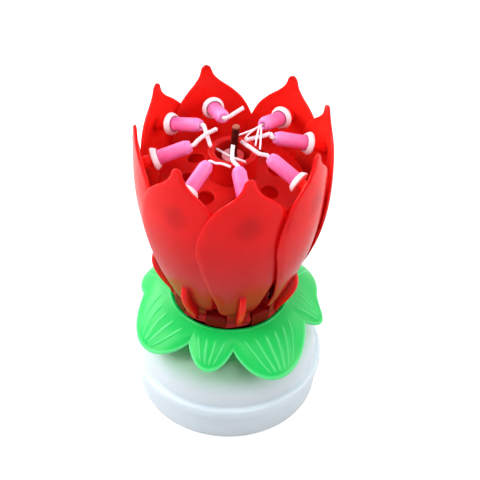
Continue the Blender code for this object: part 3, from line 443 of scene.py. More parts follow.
def softened(corners, radius, steps=5, closed=False):
    """An outline with each corner turned to a small parabola that starts and ends radius away."""
    corners = np.array(corners, float)
    before, after = np.roll(corners, 1, 0), np.roll(corners, -1, 0)
    bends = []
    for other in (before, after):
        gap = other - corners
        length = np.linalg.norm(gap, axis=1)
        bends.append(corners + gap * (np.minimum(radius, length * SOFT_SHARE) / length)[:, None])
    start, end = bends
    t = np.linspace(0, 1, steps)[None, :, None]
    curve = start[:, None] * (1 - t) ** 2 + 2 * t * (1 - t) * corners[:, None] + end[:, None] * t**2
    if closed:
        return curve.reshape(-1, 2)
    return np.concatenate([corners[:1], curve[1:-1].reshape(-1, 2), corners[-1:]])


def turned(outline, count, axis=2):
    """A surface of revolution: each outline point is a radius and a place along the axis."""
    radius, along = np.array(outline, float).T
    angle = np.linspace(0, 2 * pi, count, endpoint=False)
    across = [radius[:, None] * np.cos(angle), radius[:, None] * np.sin(angle)]
    spread = [across[0], across[1], np.broadcast_to(along[:, None], across[0].shape)]
    order = {0: (2, 0, 1), 1: (1, 2, 0), 2: (0, 1, 2)}[axis]
    return np.stack([spread[n] for n in order], -1)


def turned_ring(corners, radius, steps, count):
    """A surface of revolution whose softened outline closes on itself."""
    rows = turned(softened(corners, radius, steps, closed=True), count)
    return np.concatenate([rows, rows[:1]])


def capped(rows):
    """A tube of rows with its two ends drawn to their middles."""
    first, last = rows[:1].mean(1, keepdims=True), rows[-1:].mean(1, keepdims=True)
    flat = np.broadcast_to
    return np.concatenate([flat(first, rows[:1].shape), rows, flat(last, rows[:1].shape)])


def sides_of(line):
    """Unit vectors to the right of a line that is never upright, and above it, at each point."""
    along = np.gradient(line, axis=0)
    along /= np.linalg.norm(along, axis=1, keepdims=True)
    right = np.cross(along, (0.0, 0.0, 1.0))
    right /= np.linalg.norm(right, axis=1, keepdims=True)
    return right, np.cross(right, along)


def tube(line, radius):
    """A round tube of the given radius along a line."""
    right, up = sides_of(line)
    angle = np.linspace(0, 2 * pi, COTTON_SIDES, endpoint=False)[None, :, None]
    ring = right[:, None] * np.cos(angle) + up[:, None] * np.sin(angle)
    return capped(line[:, None] + ring * radius)


def twisted(line, radius, lay, count=3):
    """Strands laid round each other: each winds about the line once in each length of lay."""
    right, up = sides_of(line)
    run = np.concatenate([[0], np.cumsum(np.linalg.norm(np.diff(line, axis=0), axis=1))])
    strands = []
    for n in range(count):
        angle = (2 * pi * (run / lay + n / count))[:, None]
        middle = line + radius * STRAND_OUT * (right * np.cos(angle) + up * np.sin(angle))
        strands.append(tube(middle, radius * STRAND_SHARE))
    return strands


def placed(name, data):
    """A new object in the scene."""
    made = bpy.data.objects.new(name, data)
    bpy.context.scene.collection.objects.link(made)
    return made


def piece(name, shells, material, body, stands_for, marks=None, open_rows=True):
    """A closed mesh from grids of points in millimetres.

    Each grid's columns run round, and its rows do too if they aren't open. The piece rides on its
    body, stands for the named solid and fills its slot. Marks are values for its points.
    """
    points, faces, start = [], [], 0
    for rows in shells:
        height, width = rows.shape[:2]
        i, j = np.meshgrid(np.arange(height - open_rows), np.arange(width), indexing="ij")
        below, right = (i + 1) % height, (j + 1) % width
        ring = (i * width + j, i * width + right, below * width + right, below * width + j)
        faces.append(np.stack(ring, -1).reshape(-1, 4) + start)
        points.append(rows.reshape(-1, 3))
        start += height * width
    mesh = bpy.data.meshes.new(name)
    mesh.from_pydata((np.concatenate(points) * MM).tolist(), [], np.concatenate(faces).tolist())
    for mark, values in (marks or {}).items():
        attribute = mesh.attributes.new(mark, "FLOAT", "POINT")
        attribute.data.foreach_set("value", values.ravel().astype(np.float32))
    merged = bmesh.new()
    merged.from_mesh(mesh)
    bmesh.ops.remove_doubles(merged, verts=merged.verts, dist=1e-6)
    bmesh.ops.recalc_face_normals(merged, faces=merged.faces)
    merged.to_mesh(mesh)
    merged.free()
    mesh.shade_smooth()
    mesh.set_sharp_from_angle(angle=radians(SHARP_ANGLE))
    mesh.materials.append(material)
    made = placed(name, mesh)
    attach(made, body)
    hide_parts(*stands_for)


# Materials

def linear(colour):
    """An sRGB hex colour as linear red, green, blue and alpha."""
    parts = np.array([int(colour[n : n + 2], 16) / 255 for n in (0, 2, 4)])
    return (*np.where(parts <= 0.04045, parts / 12.92, ((parts + 0.055) / 1.055) ** 2.4), 1.0)


def node(tree, kind, inputs=(), **settings):
    """Adds a node with its settings; each input is a value, or the output that feeds it."""
    made = tree.nodes.new(kind)
    for name, value in settings.items():
        setattr(made, name, value)
    for name, value in dict(inputs).items():
        if isinstance(value, bpy.types.NodeSocket):
            tree.links.new(value, made.inputs[name])
        else:
            made.inputs[name].default_value = value
    return made


def any_ray(tree, *kinds):
    """1 where a ray is of one of the given kinds, and 0 elsewhere."""
    rays = node(tree, "ShaderNodeLightPath").outputs
    seen = rays[f"Is {kinds[0]} Ray"]
    for kind in kinds[1:]:
        pair = {0: seen, 1: rays[f"Is {kind} Ray"]}
        seen = node(tree, "ShaderNodeMath", pair, operation="MAXIMUM").outputs[0]
    return seen


def empty_tree(owner):
    """The node tree of a material or the world, with nothing in it."""
    owner.use_nodes = True
    owner.node_tree.nodes.clear()
    return owner.node_tree


def soaked(weight, spread, depth_mm):
    """Sockets of a material that light soaks into: how much of it, and how far in each colour."""
    scale = depth_mm * MM
    return {"Subsurface Weight": weight, "Subsurface Radius": spread, "Subsurface Scale": scale}


def finish(name, colours, scale_mm, roughness, bump=0.0, bump_mm=None, bevel_mm=0.0, marks=(),
           painted_shades=(), **sockets):
    """A moulded, drawn or pressed surface.

    Its colour drifts between two shades and its roughness by a fifth, over patches of scale_mm.
    Each mark is an attribute and the colour that it brings in. A painted shade is a colour that
    comes in between two places along an axis, in mm. Its bump is a fine grain of bump_mm, and its
    edges look rounded by bevel_mm. Other sockets of the shader are set as they are given.
    """
    made = bpy.data.materials.new(name)
    tree = empty_tree(made)
    place = node(tree, "ShaderNodeTexCoord").outputs["Object"]
    patches = {"Vector": place, "Scale": 1 / (scale_mm * MM), "Detail": 3.0}
    drift = node(tree, "ShaderNodeTexNoise", patches).outputs["Fac"]
    ramp = node(tree, "ShaderNodeValToRGB", {"Fac": drift})
    for stop, position, shade in zip(ramp.color_ramp.elements, (0.3, 0.7), colours):
        stop.position = position
        stop.color = linear(shade)
    colour = ramp.outputs["Color"]
    layers = []
    for mark, shade in marks:
        mask = node(tree, "ShaderNodeAttribute", attribute_name=mark)
        layers.append((mask.outputs["Fac"], shade))
    for axis, shade, unshaded_at, full in painted_shades:
        along = node(tree, "ShaderNodeSeparateXYZ", {"Vector": place}).outputs[axis]
        ends = {"Value": along, "From Min": unshaded_at * MM, "From Max": full * MM}
        layers.append((node(tree, "ShaderNodeMapRange", ends).outputs["Result"], shade))
    for amount, shade in layers:
        mix = {"Fac": amount, "Color1": colour, "Color2": linear(shade)}
        colour = node(tree, "ShaderNodeMixRGB", mix).outputs["Color"]
    dullness = {"Value": drift, "To Min": roughness * 0.9, "To Max": roughness * 1.1}
    dull = node(tree, "ShaderNodeMapRange", dullness).outputs["Result"]
    inputs = {"Base Color": colour, "Roughness": dull, **sockets}
    if bevel_mm:
        bevel = node(tree, "ShaderNodeBevel", {"Radius": bevel_mm * MM}, samples=4)
        inputs["Normal"] = bevel.outputs["Normal"]
    if bump:
        fine = {"Vector": place, "Scale": 1 / (bump_mm * MM), "Detail": 2.0}
        grain = node(tree, "ShaderNodeTexNoise", fine).outputs["Fac"]
        lift = {"Height": grain, "Strength": bump, "Distance": bump_mm * MM * 0.2}
        if bevel_mm:
            lift["Normal"] = inputs["Normal"]
        inputs["Normal"] = node(tree, "ShaderNodeBump", lift).outputs["Normal"]
    shader = node(tree, "ShaderNodeBsdfPrincipled", inputs)
    node(tree, "ShaderNodeOutputMaterial", {"Surface": shader.outputs["BSDF"]})
    return made


STYRENE = {"IOR": 1.55, "Specular IOR Level": 0.12}
RED_SPREAD = (1.0, 0.10, 0.08)
METAL = {"Metallic": 1.0}

# Clear red polystyrene, injection moulded: glossy, deep red, and light soaks through it. Painted
# light makes it brighter on the inner face, and painted shade makes it darker where something
# stands behind the leaf
RED_STYRENE = finish(
    "red_styrene_moulded", ("DE1012", "EE181A"), 14.0, 0.22, bump=0.03, bump_mm=3.0,
    marks=[("inner", "FF2A22"), ("shade", "7A0810")], **STYRENE, **soaked(0.6, RED_SPREAD, 2.0),
)
# The same styrene painted dark, as painted shade where it is thick and has no light behind it:
# dark, with hardly a gleam
SHADED_RED_STYRENE = finish(
    "red_styrene_painted_shade", ("640A06", "800D08"), 8.0, 0.3, bevel_mm=0.3,
    **{**STYRENE, "Specular IOR Level": 0.06},
)
# The deck's styrene, dulled by the powder that falls from the sparkler
DUSTY_RED_STYRENE = finish(
    "red_styrene_dusty", ("C81210", "DA1A16"), 6.0, 0.42, bump=0.12, bump_mm=0.9,
    **STYRENE, **soaked(0.6, RED_SPREAD, 1.5),
)
# Soft green polyethylene, injection moulded: bright, slightly waxy and lets light through, with
# painted highlights on its veins and edges
GREEN_POLYETHYLENE = finish(
    "green_polyethylene_moulded", ("0EC858", "16D262"), 22.0, 0.30, bump=0.03, bump_mm=1.5,
    marks=[("painted_light", "8CF5B8")],
    **{"Specular IOR Level": 0.22}, **soaked(0.6, (0.35, 1.0, 0.55), 2.5),
)
# Milky polypropylene, injection moulded: light soaks in and comes out again nearby, with painted
# green shade under the leaves, for their shadow and green light
MILKY_POLYPROPYLENE = finish(
    "milky_polypropylene_moulded", ("D2DEE8", "DAE4EE"), 18.0, 0.42, bump=0.03, bump_mm=2.0,
    marks=[("painted_green_shade", "A6CEB4")], **soaked(0.7, (0.9, 1.0, 1.0), 4.0),
)
# White styrene of the candle cups: plain, with soft edges that catch the light
WHITE_STYRENE = finish("white_styrene_moulded", ("F6E4EC", "FDF2F6"), 3.0, 0.35, bevel_mm=0.2)
# Natural polypropylene of the plunger, moulded: half clear; its pink is painted red light from
# what stands round it. Painted shade makes it deeper on the right, where the collar's wall shades
# it, and below, inside the column
NATURAL_POLYPROPYLENE = finish(
    "natural_polypropylene_moulded", ("E4848E", "F0949E"), 3.0, 0.4,
    painted_shades=[("X", "D0141A", -0.8, 0.3), ("Z", "C8161A", 72, 66)],
    **soaked(0.5, (1.0, 0.5, 0.5), 1.5),
)
# Pink paraffin wax, cast: soft sheen, light soaks in, and painted light makes the thin end paler
PINK_WAX = finish(
    "pink_paraffin_cast", ("FA5AA0", "FF72B4"), 2.5, 0.4, bump=0.12, bump_mm=0.8,
    marks=[("end", "F2A4E2")], **{"Specular IOR Level": 0.4}, **soaked(0.5, (1.0, 0.4, 0.5), 1.0),
)
# Bleached cotton, twisted: matte with a soft sheen
COTTON = finish(
    "bleached_cotton_twisted", ("FFDCEC", "FFF6FA"), 0.9, 0.9, bump=0.5, bump_mm=0.15,
    **{"Sheen Weight": 0.3},
)
# Sparkler powder, pressed on a stick: dark brown grains, with a pale rim of wire at the top
SPARKLER_POWDER = finish(
    "sparkler_powder_pressed", ("1E0402", "6A140A"), 0.55, 0.8, bump=0.8, bump_mm=0.35,
    marks=[("rim", "B86858")], **{"Specular IOR Level": 0.1},
)
# Black ABS, moulded: dark with a soft gloss
BLACK_ABS = finish(
    "black_abs_moulded", ("141414", "1E1E1E"), 4.0, 0.4, bump=0.1, bump_mm=0.4, bevel_mm=0.15,
)
# Steel of the screws and the spring, drawn and zinc plated: bright grey, a little blurred
ZINC_STEEL = finish(
    "zinc_plated_steel_drawn", ("B4B4B8", "CACACE"), 1.5, 0.3, bump=0.1, bump_mm=0.2,
    bevel_mm=0.1, **METAL,
)
# Nickel-plated steel can of a button cell, deep drawn: the smoothest metal here
NICKEL_STEEL = finish(
    "nickel_plated_steel_pressed", ("C8C6C0", "D8D6D0"), 3.0, 0.22, bump=0.05, bump_mm=0.5,
    bevel_mm=0.25, **METAL,
)
# Brass sheet, stamped: yellow, with crisp edges
BRASS_SHEET = finish(
    "brass_sheet_stamped", ("D0AC5A", "E2C070"), 2.0, 0.28, bump=0.1, bump_mm=0.2,
    bevel_mm=0.08, **METAL,
)
# Phenolic board with green solder mask: dark green with a faint grain
GREEN_BOARD = finish(
    "phenolic_board_masked", ("125A30", "1A6C3C"), 2.0, 0.35, bump=0.2, bump_mm=0.4, bevel_mm=0.1,
)
# Insulation of the wires, extruded vinyl: smooth and even
RED_VINYL = finish("red_vinyl_extruded", ("B01818", "C42020"), 1.5, 0.4)
BLACK_VINYL = finish("black_vinyl_extruded", ("161616", "202020"), 1.5, 0.4)
WHITE_VINYL = finish("white_vinyl_extruded", ("E2E2DE", "EFEFEA"), 1.5, 0.4)


# Petals

def bud_radius(z):
    """Radius of the bud's outer face: a parabola in height that is widest at BUD_WIDE_Z."""
    share = (BUD_WIDE_Z - z) / (BUD_WIDE_Z - PIVOT_Z)
    return BUD_R - (BUD_R - PIVOT_R) * share**2 * np.where(share < 0, CROWN_SHARE, 1.0)


def petal_half_width(z):
    """Half the petal's width along its arc, from the outline's shares."""
    low = PIVOT_Z + NECK_L
    return PETAL_HALF_W * through(PETAL_SHARES, (z - low) / (TIP_Z - low))


def petal_place(x, inset, z, lean, sway=0.0):
    """A place on the petal: x along its arc from the middle, inset inwards from the outer face.

    The face winds like a pinwheel, closer to the axis to the right, so that each left edge lies
    over a neighbour. The petal leans aside evenly up its height, and sways out and back between
    its hinge and its tip.
    """
    winding = (PETAL_T + PETAL_GAP) / (2 * pi / PETAL_COUNT)
    angle = x / bud_radius(z)
    radius = bud_radius(z) - winding * angle - inset
    height = (z - PIVOT_Z) / (TIP_Z - PIVOT_Z)
    aside = np.sin(pi * height.clip(0, 1) ** SWAY_BEND)
    angle = angle + radians(lean) * height + radians(sway) * aside
    up = z - PIVOT_Z + 0 * angle
    return np.stack([radius * np.sin(angle), PIVOT_R - radius * np.cos(angle), up], -1)


def petal_blade(lean, sway):
    """The leaf of a petal: a slab with round edges and the keel's ridge, carried up its height.

    Its section runs round by its arc: outer face left to right, half circle, inner face back,
    half circle. The outer face falls by a square law over EDGE_RUN to the thinner edges. The last
    rows shrink its width by a quarter circle to round the tip. Below KEEL_TOP_Z the keel's depth
    rises by a sixth power and swells by a half sine, and its section is blunt.

    The second result holds its marks. The outer face has painted shade where the cup behind
    keeps the light off and towards the foot, and the inner face at the nib's tip. The inner
    face, which the light soaks through to, has painted light of its own.
    """
    round_off = np.linspace(0, 0.97, TIP_ROWS)[1:] * pi / 2
    low = PIVOT_Z + np.linspace(0, 1, PETAL_ROWS) ** 1.05 * (TIP_Z - TIP_ROUND - PIVOT_Z)
    z = np.concatenate([low, TIP_Z - TIP_ROUND + TIP_ROUND * np.sin(round_off)])[:, None]
    to_tip = ((z - TIP_Z + TIP_ROUND) / TIP_ROUND).clip(0)
    half_t = PETAL_T / 2 * np.sqrt(1 - to_tip**8)
    edge_t = half_t * EDGE_SHARE
    flat = petal_half_width(z) * np.sqrt(1 - to_tip**2) - edge_t
    core = np.minimum(KEEL_T, flat / 2) * KEEL_COLUMNS
    side = core[:, -1:] + (flat - core[:, -1:]) * np.linspace(0, 1, SIDE_COLUMNS)[1:]
    x = np.concatenate([-side[:, ::-1], core, side], 1)
    share = np.clip((KEEL_TOP_Z - z) / (KEEL_TOP_Z - PIVOT_Z), 0, 1)
    across = np.clip(np.abs(x) / KEEL_HALF_W, 0, 1)
    ridge = KEEL_DEEP * (1 + KEEL_BELLY * np.sin(pi * share)) * (1 - (1 - share) ** 6)
    ridge = ridge * (1 - across**6) ** 0.4
    thin = PETAL_T / 2 - half_t
    back = thin + 2 * half_t
    edge = flat + edge_t * np.sin(EDGE_TURN)
    edge_inset = back - edge_t * (1 + np.cos(EDGE_TURN))
    fall = 2 * (half_t - edge_t) * np.clip((np.abs(x) - flat) / EDGE_RUN + 1, 0, 1) ** 2
    loop_x = np.concatenate([x, edge, x[:, ::-1], -edge], 1)
    inset = [thin + fall - ridge, edge_inset, back + 0 * x, edge_inset[:, ::-1]]
    inset = np.concatenate(inset, 1)
    inside = 1.0 * (inset > PETAL_T * INNER_SHARE)
    # Painted shade: the cup's shadow through the leaf, darker towards the foot, and at the nib
    away = np.hypot(loop_x, z - SPOT_Z) / SPOT_R
    to_foot = np.clip((FOOT_SHADE_Z - z) / FOOT_SHADED, 0, 1)
    shade = SPOT_SHADE * np.exp(-(away**4)) + FOOT_SHADE * to_foot
    shade = shade * (1 - inside) * (inset > -UNSHADED_OUT)
    nib = NIB_SHADE * np.clip((z - TIP_Z + NIB_SHADED) / NIB_SHADED, 0, 1)
    marks = {"shade": np.maximum(shade, nib * inside), "inner": inside}
    marks = {name: np.concatenate([mark[:1], mark, mark[-1:]]) for name, mark in marks.items()}
    return capped(petal_place(loop_x, inset, z + 0 * loop_x, lean, sway)), marks


def petal_apron(lean, sway):
    """The petal's foot in front of its hinge: a slab with round sides that hangs straight down.

    Its distance from the face grows with the square of the way down, and its width follows the
    leaf's.
    """
    z = np.linspace(PIVOT_Z - APRON_LOW, PIVOT_Z + APRON_HIGH, APRON_ROWS)[:, None]
    out = APRON_OUT * np.linspace(1, 0, APRON_ROWS)[:, None] ** 2 - APRON_SUNK
    half_t = APRON_T / 2
    half = np.minimum(petal_half_width(np.maximum(z, PIVOT_Z)), APRON_HALF_W) - half_t
    side = half + half_t * np.sin(EDGE_TURN)
    flat = half * np.linspace(-1, 1, SIDE_COLUMNS)
    x = np.concatenate([flat, side, flat[:, ::-1], -side], 1)
    fall = half_t * np.cos(EDGE_TURN)
    face, back = np.zeros(SIDE_COLUMNS), np.full(SIDE_COLUMNS, APRON_T)
    deep = np.concatenate([face, half_t - fall, back, half_t + fall])
    return capped(petal_place(x, deep - out, z + 0 * x, lean, sway))


def keel_foot():
    """The keel's round end at the hinge: a fin's section, swung a quarter turn down."""
    angle = np.linspace(*KEEL_SWING, 20)
    turn = np.linspace(-pi / 2, pi / 2, 13)
    x = KEEL_T / 2 * np.sign(np.sin(turn)) * np.abs(np.sin(turn)) ** KEEL_BLUNT
    reach = KEEL_DEEP - KEEL_T / 3 * (1 - np.cos(turn) ** KEEL_BLUNT)
    x, reach = np.append(x, [KEEL_T / 2, -KEEL_T / 2]), np.append(reach, [0.0, 0.0])
    swing = np.radians(angle)[:, None]
    return capped(np.stack([x + 0 * swing, -reach * np.cos(swing), -reach * np.sin(swing)], -1))


def hinge_barrel():
    """Round barrel along the hinge's axis, with a thinner trunnion at each end."""
    end = BARREL_HALF_L + TRUNNION_L
    half = [(0, -end), (TRUNNION_R, -end), (TRUNNION_R, -BARREL_HALF_L)]
    half.append((BARREL_R, -BARREL_HALF_L))
    return turned(softened(half + [(r, -x) for r, x in reversed(half)], BARREL_SOFT), 24, axis=0)


def tail_lever():
    """The tail inside the hinge: a slab with round edges, drawn in by a half circle at its end."""
    angle = np.linspace(0, 2 * pi, 20, endpoint=False)
    end = TAIL_L + TAIL_HALF_T * np.sin(np.linspace(0, pi / 2, 6)[1:])
    run = np.concatenate([np.linspace(0, TAIL_L, 6), end])
    past = (run - TAIL_L).clip(0) / TAIL_HALF_T
    round_off = np.sqrt(np.clip(1 - past**2, 0, 1))[:, None]
    box = [np.sign(f) * np.abs(f) ** TAIL_BLUNT for f in (np.cos(angle), np.sin(angle))]
    x, high = TAIL_W / 2 * box[0] + 0 * round_off, TAIL_HALF_T * box[1] * round_off
    drop = radians(TAIL_DROP)
    y = run[:, None] * np.cos(drop) + high * np.sin(drop)
    return capped(np.stack([x, y, high * np.cos(drop) - run[:, None] * np.sin(drop)], -1))


def seat_lean(lean):
    """How far a petal has leant aside where its candle sits."""
    return lean * (CANDLE_SEAT_Z - PIVOT_Z) / (TIP_Z - PIVOT_Z)


def candle_seat(number, lean):
    """Where a candle's axis meets its petal, and the turn that points it: up on the open petal."""
    seat = petal_place(np.array(0.0), PETAL_T, np.array(CANDLE_SEAT_Z), lean)
    side = seat_lean(lean) + CANDLE_SWINGS[number - 1]
    return seat, turn_z(side) @ np.array(Matrix.Rotation(radians(90 - OPEN_ANGLE), 3, "X"))


def cup_boss(number, lean):
    """Red boss on the inner face that takes the cup's stem: a cone about the candle's axis.

    Its foot slides along the axis on to the petal's slope, so that it ends BOSS_SUNK inside the
    wall all round.
    """
    seat, turn = candle_seat(number, lean)
    high = CUP_STEM_START + CUP_STEM_L - BOSS_SHORT
    cone = [(0, 0), (BOSS_FOOT_R, 0), (BOSS_HEAD_R, high), (0, high)]
    wall = turned(softened(cone, EDGE_SOFT), 32, axis=1)
    inwards = turn_z(seat_lean(lean))[:, 1]
    placed_wall, axis = wall @ turn.T, turn[:, 1]
    slid = (BOSS_SUNK + placed_wall @ inwards) / (axis @ inwards) * (1 - wall[..., 1] / high)
    return seat + placed_wall - slid[..., None] * axis


def at_hinge(number, rows):
    """Points of a petal's own frame, carried to its hinge."""
    joint = HINGES[f"petal_{number}_hinge"]
    return rows @ turn_z(hinge_azimuth(joint)).T + np.array(joint["pos_m"]) / MM


def petals():
    """Each petal's leaf with its foot, keel, hinge and boss, and what it carries."""
    for number, (lean, sway) in enumerate(zip(TIP_LEANS, SWAYS), 1):
        blade, marks = petal_blade(lean, sway)
        plain = [petal_apron(lean, sway), keel_foot(), hinge_barrel(), tail_lever()]
        plain.append(cup_boss(number, lean))
        sizes = [rows.shape[0] * rows.shape[1] for rows in plain]
        # Painted shade and painted inner light of the plain shells
        for name, values in (("shade", PLAIN_SHADES), ("inner", PLAIN_INNER_LIGHT)):
            marks[name] = np.append(marks[name], np.repeat(values, sizes))
        body = f"petal_unit_{number}"
        piece(f"petal_leaf_{number}", [at_hinge(number, rows) for rows in (blade, *plain)],
              RED_STYRENE, body, [f"petal_{number}"], marks)
        candle(number, lean, body)


# Candles

def candle(number, lean, body):
    """One petal's cup, candle and wick on their common axis."""
    seat, turn = candle_seat(number, lean)
    disc = CUP_STEM_START + CUP_STEM_L
    face = disc + CUP_DISC_T
    slope = disc + CUP_DISC_T * CUP_SLOPE_SHARE
    recess = face - CUP_RECESS
    foot = recess + CLEARANCE
    end = foot + CANDLE_L
    bore = CANDLE_R + CLEARANCE
    cup = [
        (0, CUP_STEM_START), (CUP_STEM_R, CUP_STEM_START), (CUP_STEM_R, disc), (CUP_DISC_R, disc),
        (CUP_DISC_R, slope), (bore + CUP_LIP, face), (bore, face), (bore, recess), (0, recess),
    ]
    shell = turned(softened(cup, EDGE_SOFT), 40, axis=1)
    piece(f"cup_{number}", [at_hinge(number, seat + shell @ turn.T)], WHITE_STYRENE, body,
          [f"candle_cup_{number}"])
    hole = WICK_R * WICK_HOLE_SHARE
    bottom = end - WICK_HOLE_DEEP
    wax = [
        (0, foot), (CANDLE_R, foot), (CANDLE_R, end - WAX_TAPER_L), (WAX_END_R, end), (hole, end),
        (hole, bottom), (0, bottom),
    ]
    shell = turned(softened(wax, WAX_SOFT), 36, axis=1)
    # Painted light, paler towards the candle's end
    painted_light = WAX_END_LIGHT * np.clip((shell[..., 1] - end + WAX_END_LIGHT_L) / WAX_END_LIGHT_L, 0, 1) ** 1.5
    piece(f"wax_candle_{number}", [at_hinge(number, seat + shell @ turn.T)], PINK_WAX, body,
          [f"candle_{number}"], {"end": painted_light})
    starts = (bottom + CLEARANCE, end, end + WICK_NECK)
    knots = [seat + turn @ np.array((0.0, along, 0.0)) for along in starts]

    def wick_line(bends, per_leg):
        return smooth_line(knots + [knots[1] + WICK_REACH * np.array(b) for b in bends], per_leg)

    if number == FRAYED_PETAL:
        strands = [tube(wick_line(bends, 12), FRAYED_STRAND_R) for bends in FRAYED_SHARES]
    else:
        radius = THIN_WICK_R if number == THIN_WICK_PETAL else WICK_R
        strands = twisted(wick_line(WICK_SHARES[number - 1], 10), radius, WICK_LAY)
    piece(f"cotton_wick_{number}", [at_hinge(number, rows) for rows in strands], COTTON, body,
          [f"wick_{number}"])


# Base, calyx and hub

def base_shell():
    """Milky shell: foot, flared side, rounded ring and dome, turned about the axis.

    Its wall is evenly thick. The mark is painted green shade where the leaves shadow the dome
    and throw green light on it.
    """
    angle = np.radians(np.linspace(0, 90, 30))
    quarter = np.stack([np.cos(angle), np.sin(angle)], -1)
    middle = np.array((DOME_TOP_R, LIP_TOP_Z))
    reach = np.array((DOME_R, DOME_TOP_Z)) - middle
    dome = middle + reach * quarter
    inner = (middle + (reach - BASE_WALL) * quarter)[::-1]
    side = [
        (FOOT_R - BASE_WALL, 0), (FOOT_R, 0), (LIP_R - LIP_STEP, LIP_LOW_Z),
        (LIP_R, LIP_LOW_Z + LIP_STEP), (LIP_R, LIP_TOP_Z), (DOME_R, LIP_TOP_Z),
        (DOME_R, LIP_TOP_Z + DOME_STEP),
    ]
    side = softened(side, LIP_ROUND, 9)[:-1]
    top = [(DOME_HOLE_R, DOME_TOP_Z), (DOME_HOLE_R, DOME_TOP_Z - BASE_WALL)]
    outline = np.concatenate([side, dome[2:], top, inner])
    # Painted green shade of the leaves on the dome, fading out by radius
    glow = np.clip((GREEN_SHADE_R - outline[:, 0]) / (GREEN_SHADE_R - GREEN_SHADE_FULL_R), 0, 1)
    glow = np.repeat((glow * (outline[:, 1] > LIP_TOP_Z))[:, None], BASE_COLUMNS, 1)
    piece("milky_base", [turned(outline, BASE_COLUMNS)], MILKY_POLYPROPYLENE, "base",
          ["base_shell"], {"painted_green_shade": glow}, open_rows=False)


def calyx():
    """Green cup with its leafy skirt: one closed section at each azimuth, longer along a lobe.

    The skirt runs down a cone. A lobe's reach rises from the notches on its two sides by the
    cosine of how far the azimuth is from its tip. The raised veins start apart near the cup and
    draw together towards the tip. The painted highlight follows veins and edge.
    """
    lean = radians(SKIRT_SLOPE)
    down, out = np.array([(np.cos(lean), -np.sin(lean)), (np.sin(lean), np.cos(lean))])
    following = [*LOBES[1:], (LOBES[0][0] + 360, *LOBES[0][1:])]
    steps = np.linspace(0, 1, SKIRT_ROWS)
    turn = np.linspace(0, pi, 7)[1:-1]
    inner_r, ring_top = CUP_R - CUP_WALL, CALYX_Z + CALYX_RING_T
    cup = softened(
        [(CUP_R, RIM_Z - RIM_UNDER), (CUP_R, CALYX_Z), (DOME_HOLE_R, CALYX_Z),
         (DOME_HOLE_R, ring_top), (inner_r, ring_top), (inner_r, RIM_Z),
         (CUP_R - RIM_IN, RIM_Z + RIM_UP)], CUP_ROUND)
    sections, marks = [], []
    for (start, notch, reached, skew, veins), (end, next_notch, *_) in zip(LOBES, following):
        even = np.linspace(-1, 1, LOBE_COLUMNS, endpoint=False)[:, None]
        across = (even + np.sin(even * pi / 2)) / 2
        azimuth = radians(1) * ((start + end) / 2 + across * (end - start) / 2)
        from_tip = across - skew * (1 - across**2)
        notches = notch + (next_notch - notch) * (across + 1) / 2
        reach = notches + (reached - notches) * np.cos(from_tip * pi / 2).clip(0)
        run = (reach - CUP_R) / np.cos(lean) - SKIRT_T / 2
        along = run * steps
        drawn = 1 - VEIN_DRAWN * (along / run.max()).clip(0, 1)
        half = radians(end - start) / 2 * (CUP_R + along * np.cos(lean))
        off_veins = [np.abs(across - skew - (place - skew) * drawn) * half
                     for place in np.linspace(-VEIN_SPREAD, VEIN_SPREAD, veins)]
        away = np.min(off_veins, 0)
        fade = np.clip((along - VEIN_START) / VEIN_FADE, 0, 1)
        fade = fade * np.clip(run - along - VEIN_END, 0, 1)
        vein = np.exp(-((away / VEIN_HALF_W) ** 2)) * fade
        crest = SKIRT_CREST * np.sin(pi * steps) * run / LEAF_R * 2 + VEIN_HIGH * vein
        top = along[..., None] * down + crest[..., None] * out
        tip = (run[:, :, None] * down) - SKIRT_T / 2 * out
        edge = tip + SKIRT_T / 2 * (np.cos(turn)[:, None] * out + np.sin(turn)[:, None] * down)
        under = (run * steps[:8:-3])[..., None] * down - SKIRT_T * out
        leaf = np.concatenate([top, edge, under], 1) + (CUP_R, RIM_Z)
        rows = len(across)
        section = np.concatenate([leaf, np.broadcast_to(cup, (rows, *cup.shape))], 1)
        radius, height = section[..., 0], section[..., 1]
        place = [radius * np.sin(azimuth), -radius * np.cos(azimuth), height]
        sections.append(np.stack(place, -1))
        # Painted highlight at the leaf's edge and on its veins
        rim = np.clip(1 - (run - along) / EDGE_HIGHLIGHT_W, 0, 1) * EDGE_HIGHLIGHT
        painted_light = [np.maximum(vein * VEIN_HIGHLIGHT, rim), np.full((rows, len(turn)), EDGE_HIGHLIGHT)]
        plain = np.zeros((rows, radius.shape[1] - len(steps) - len(turn)))
        marks.append(np.concatenate([*painted_light, plain], 1))
    piece("leafy_calyx", [np.concatenate(sections)], GREEN_POLYETHYLENE, "base", ["calyx"],
          {"painted_light": np.concatenate(marks)}, open_rows=False)


def ear(azimuth):
    """One ear between two petals: a rounded side outline, carried from one hinge to the next."""
    outline = softened(
        [(EAR_INNER_R, EAR_LOW_Z), (EAR_STEM_R, EAR_LOW_Z), (EAR_STEM_R, EAR_HEAD_LOW_Z),
         (EAR_HEAD_R, EAR_HEAD_LOW_Z), (EAR_HEAD_R, EAR_TOP_Z), (EAR_INNER_R, EAR_TOP_Z)],
        EAR_ROUND, 6, closed=True)
    middle = outline.mean(0)
    away = outline - middle
    section = middle + away * (1 - EAR_DRAWN_IN[:, None, None] / np.abs(away).max())
    radius, z = section[..., 0], section[..., 1]
    half_pitch = pi / PETAL_COUNT
    half = (outline[:, 0] * np.sin(half_pitch) - EAR_SIDE) / np.cos(half_pitch)
    rows = np.stack([EAR_SECTIONS[:, None] * half, -radius, z], -1)
    return capped(rows) @ turn_z(azimuth).T


